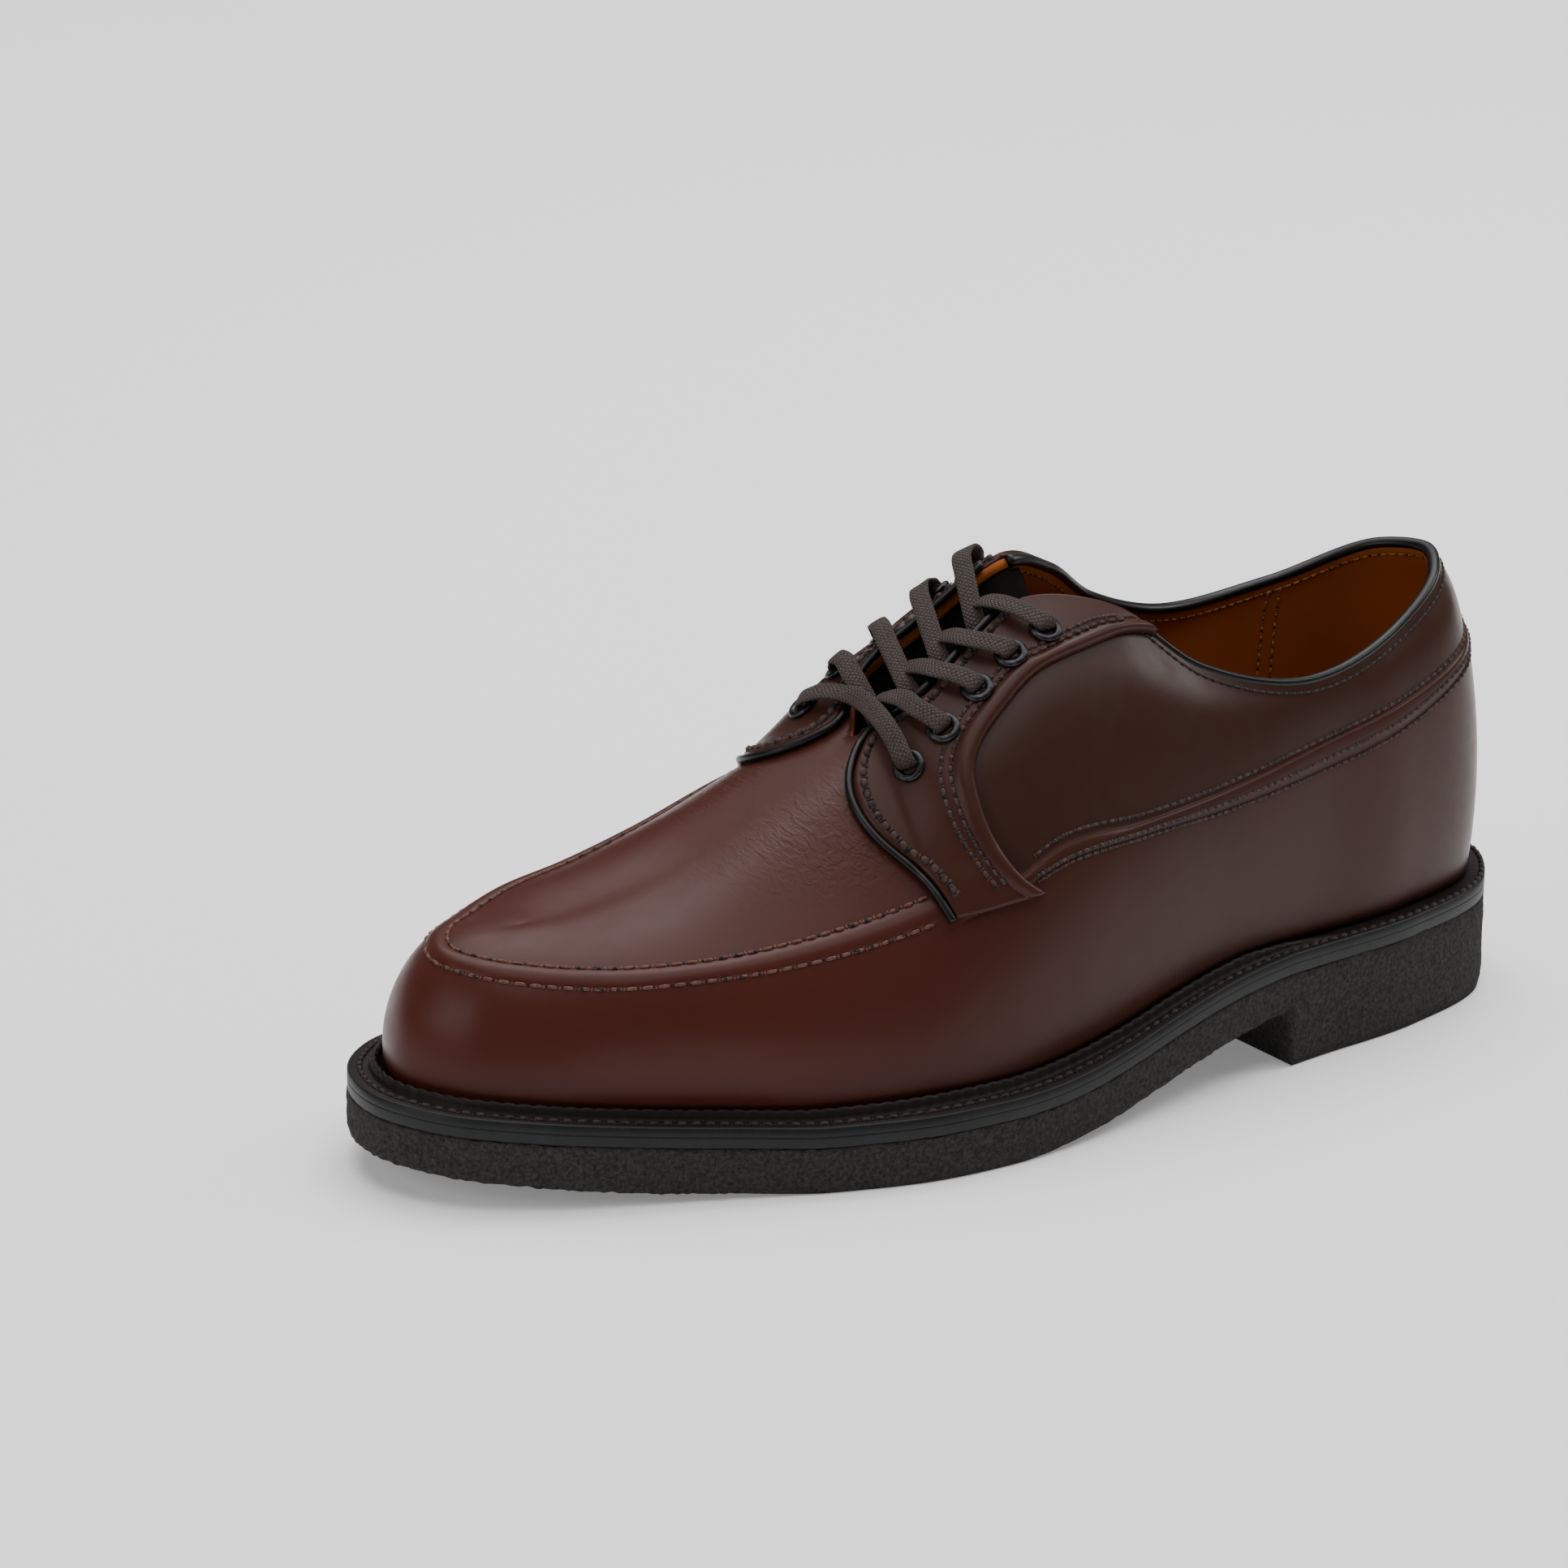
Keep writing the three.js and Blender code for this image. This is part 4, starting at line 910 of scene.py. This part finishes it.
first, first_wide = over_facing(SIDES[0][1], 0, NEAR_RUNS)
second, second_wide = over_facing(SIDES[1][1], 0, FAR_RUNS)
lace_mesh("lace_over_bar", [(np.vstack([first, second[::-1]]), np.vstack([first_wide, second_wide[::-1]]))],
          ["lace_bar"])


near, far = SIDES[0][1], SIDES[1][1]
tilt = unit(np.array([0, -0.5, 1.0]))
for i in range(1, 5):
    points, wide = over_facing(near, i, NEAR_RUNS)
    goal = lifted(far(FAR_RUNS[i] + 0.3), 2, 0.5)[0]
    under_path = [points[-1] + (goal - points[-1]) * f + tilt * h for f, h in ((0.28, 0.2), (0.55, -1.2))]
    lower = (np.vstack([points, *under_path]), np.vstack([wide, wide[-1:], wide[-1:]]))
    points, wide = over_facing(far, i, FAR_RUNS, 1.0)
    goal = lifted(near(NEAR_DIVES[i]), 2, -1.6)[0]
    slant = unit(np.cross(goal - points[-1], tilt))
    slant *= np.sign(slant @ wide[-1])
    wide[-1] = slant
    wide[-2] = unit(wide[-2] + slant)
    over_path = [points[-1] + (goal - points[-1]) * f + tilt * h
                 for f, h in ((0.22, 0.9), (0.55, 1.2), (0.82, 0.6), (0.97, -1.6))]
    over = (np.vstack([points, *over_path]), np.vstack([wide] + [wide[-1:]] * 4))
    lace_mesh(f"lace_crossing_{i + 1}", [lower, over], [f"lace_cross_{i + 1}"])


# %% [markdown]
# Stitches are small beads of thread with gaps where the needle went in. All of one row are one mesh, and each is a
# short, pointed six-sided form. Each gap has a flat near-black disc, which is painted shade of a needle hole that
# is not cut.

# %% Stitches
def stitch_row(name, path, normals, pitch, radius, material, slot, fill=0.8):
    path, normals = np.asarray(path), np.asarray(normals)
    length = np.linalg.norm(np.diff(path, axis=0), axis=1).sum()
    count = max(2, int(length / pitch))
    fine = even(path, count * 2 + 1, [normals])
    points, faces = [], []
    for i in range(count):
        here, there = fine[2 * i, :3], fine[2 * i + 2, :3]
        normal = unit(fine[2 * i + 1, 3:])
        middle, run = (here + there) / 2, (there - here) * fill
        wide = unit(np.cross(run, normal))
        base = len(points)
        for f, size in ((-0.5, 0.35), (-0.32, 0.9), (0, 1), (0.32, 0.9), (0.5, 0.35)):
            for a in range(6):
                angle = a * math.pi / 3
                points.append(middle + run * f + wide * math.cos(angle) * radius * size
                              + normal * (math.sin(angle) * radius * size - (1 - size) * radius * 0.8))
        for r in range(4):
            for a in range(6):
                b = (a + 1) % 6
                faces.append((base + r * 6 + a, base + r * 6 + 6 + a, base + r * 6 + 6 + b, base + r * 6 + b))
        faces.append(tuple(base + a for a in range(6)))
        faces.append(tuple(base + 24 + a for a in range(6)))
        base, along_run = len(points), unit(run)
        for a in range(6):
            angle = a * math.pi / 3
            points.append(there + along_run * math.cos(angle) * radius * 0.7
                          + wide * math.sin(angle) * radius * 1.3 + normal * 0.02)
        points.append(there - normal * 0.4)
        faces.append(tuple(base + a for a in range(6)))
        faces += [(base + 6, base + (a + 1) % 6, base + a) for a in range(6)]
    # Material index 1 is the near-black painted shade of the needle holes.
    kinds = [1 if f % 37 >= 30 else 0 for f in range(len(faces))]
    piece = mesh_piece(name, np.array(points), faces, [material, hole_shade_paint], kinds, merge=False)
    return shown(piece, slot)


def on_upper(u, v, lift):
    return lifted(u, v, relief(u, v) + lift), last_normal(u, v)


LINING_SEAM = 28.0
u = np.linspace(8.9, 21.1, 160)
stitch_row("apron_stitch_outer", *on_upper(u, np.full(160, 0.985), 0.15), 3.5, 0.48, apron_thread, "upper")
stitch_row("apron_stitch_inner", *on_upper(u, band_inner(u) + 0.006, 0.15), 3.5, 0.48, apron_thread, "upper")
u = np.linspace(-6.6, 6.6, 240)
for k, (offset, pitch) in enumerate(((-1.2, 2.4), (3.2, 2.2), (5.3, 2.2))):
    v = lap_line(u) - offset / rib_mm(u)
    stitch_row(f"lap_stitch_{k + 1}", *on_upper(u, v, 0.1), pitch, 0.42, dark_thread, "upper")
u = np.linspace(-5.6, 5.6, 200)
v = 2 - 2.3 / (np.linalg.norm(last_point(u, 2) - last_point(u, 1.9), axis=1) / 0.1)
stitch_row("collar_stitch", *on_upper(u, v, 0.1), 2.2, 0.34, welt_thread, "upper")
inside = lifted(u, v, -UPPER_WALL - 0.1)
stitch_row("lining_stitch", inside, -last_normal(u, v), 2.2, 0.3, lining_thread, "insole")
for k, seam_u in enumerate((LINING_SEAM, LINING_SEAM + 0.11)):
    v = np.linspace(1.88, 0.5, 60)
    u = np.full(60, seam_u)
    stitch_row(f"lining_seam_{k + 1}", lifted(u, v, -UPPER_WALL - 0.1), -last_normal(u, v), 2.2, 0.3,
               lining_thread, "insole")

def on_facing(name, reach, first_row, last_row, from_front):
    """A line on the facing at a distance from its front or rear edge, with its normals."""
    grid, normal, along = facing_grids[name]
    points, ups = [], []
    for r in range(first_row, last_row, 2):
        place_mm = reach if from_front else along[r, -1] - reach
        points.append([np.interp(place_mm, along[r], grid[r, :, k]) for k in range(3)])
        ups.append([np.interp(place_mm, along[r], normal[r, :, k]) for k in range(3)])
    return np.array(points), np.array(ups)


for name, at in SIDES:
    for k, (reach, from_front, pitch, radius) in enumerate((
            (EDGE_BAND + 0.9, False, 2.6, 0.55), (EDGE_BAND + 3.0, False, 2.6, 0.55), (2.7, True, 3.0, 0.95))):
        path, ups = on_facing(name, reach, 4, FACING_ROWS - 10, from_front)
        stitch_row(f"facing_stitch_{name}_{k + 1}", path, ups, pitch, radius, dark_thread, "facing")

u = np.arange(600) * COUNT / 600
p = outline_at(u, (ledge_rail(u)[:, 0] - BEAD_TO_UPPER - BEAD_WIDTH) * 0.55)
path = place(np.column_stack([p, welt_top(p[:, 1]) + 0.1]))
stitch_row("welt_stitch", path, np.tile([0, 0, 1.0], (600, 1)), 3.2, 0.68, welt_thread, "welt")

# %% [markdown]
# The stage is a white floor under broad, soft lights, as in a product photo.

# %% Floor and lights
bpy.ops.mesh.primitive_plane_add(size=12, location=(0, 0, -0.0002))
floor = bpy.context.object
floor.name = "floor"
white, tree, shader = new_material("white_paper_floor")
shader.inputs["Base Color"].default_value = linear("#ffffff")
shader.inputs["Roughness"].default_value = 0.9
shader.inputs["Emission Color"].default_value = linear("#ffffff")
shader.inputs["Emission Strength"].default_value = 0.2
floor.data.materials.append(white)
floor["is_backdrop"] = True

world = bpy.data.worlds.new("white_studio")
bpy.context.scene.world = world
world.use_nodes = True
world.node_tree.nodes["Background"].inputs["Color"].default_value = (1, 1, 1, 1)
world.node_tree.nodes["Background"].inputs["Strength"].default_value = 0.12


def soft_light(name, where, target, size, watts):
    bpy.ops.object.light_add(type="AREA", location=where)
    light = bpy.context.object
    light.name = name
    light.data.shape = "RECTANGLE"
    light.data.size, light.data.size_y = size
    light.data.energy = watts
    light.rotation_euler = (Vector(target) - Vector(where)).to_track_quat("-Z", "Y").to_euler()


soft_light("overhead", (0.0, 0.2, 2.0), (0, 0.1, 0.05), (2.4, 2.4), 44)
soft_light("far_overhead", (-1.0, 0.6, 1.9), (0, 0.0, 0.05), (1.8, 1.8), 26)
soft_light("heel_side", (0.3, 1.5, 1.1), (0.0, 0.1, 0.06), (0.6, 0.6), 8)
soft_light("toe_side", (0.1, -1.4, 0.7), (0, -0.08, 0.05), (0.7, 0.7), 5)

# %% Sizes of the shown pieces
low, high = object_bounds()
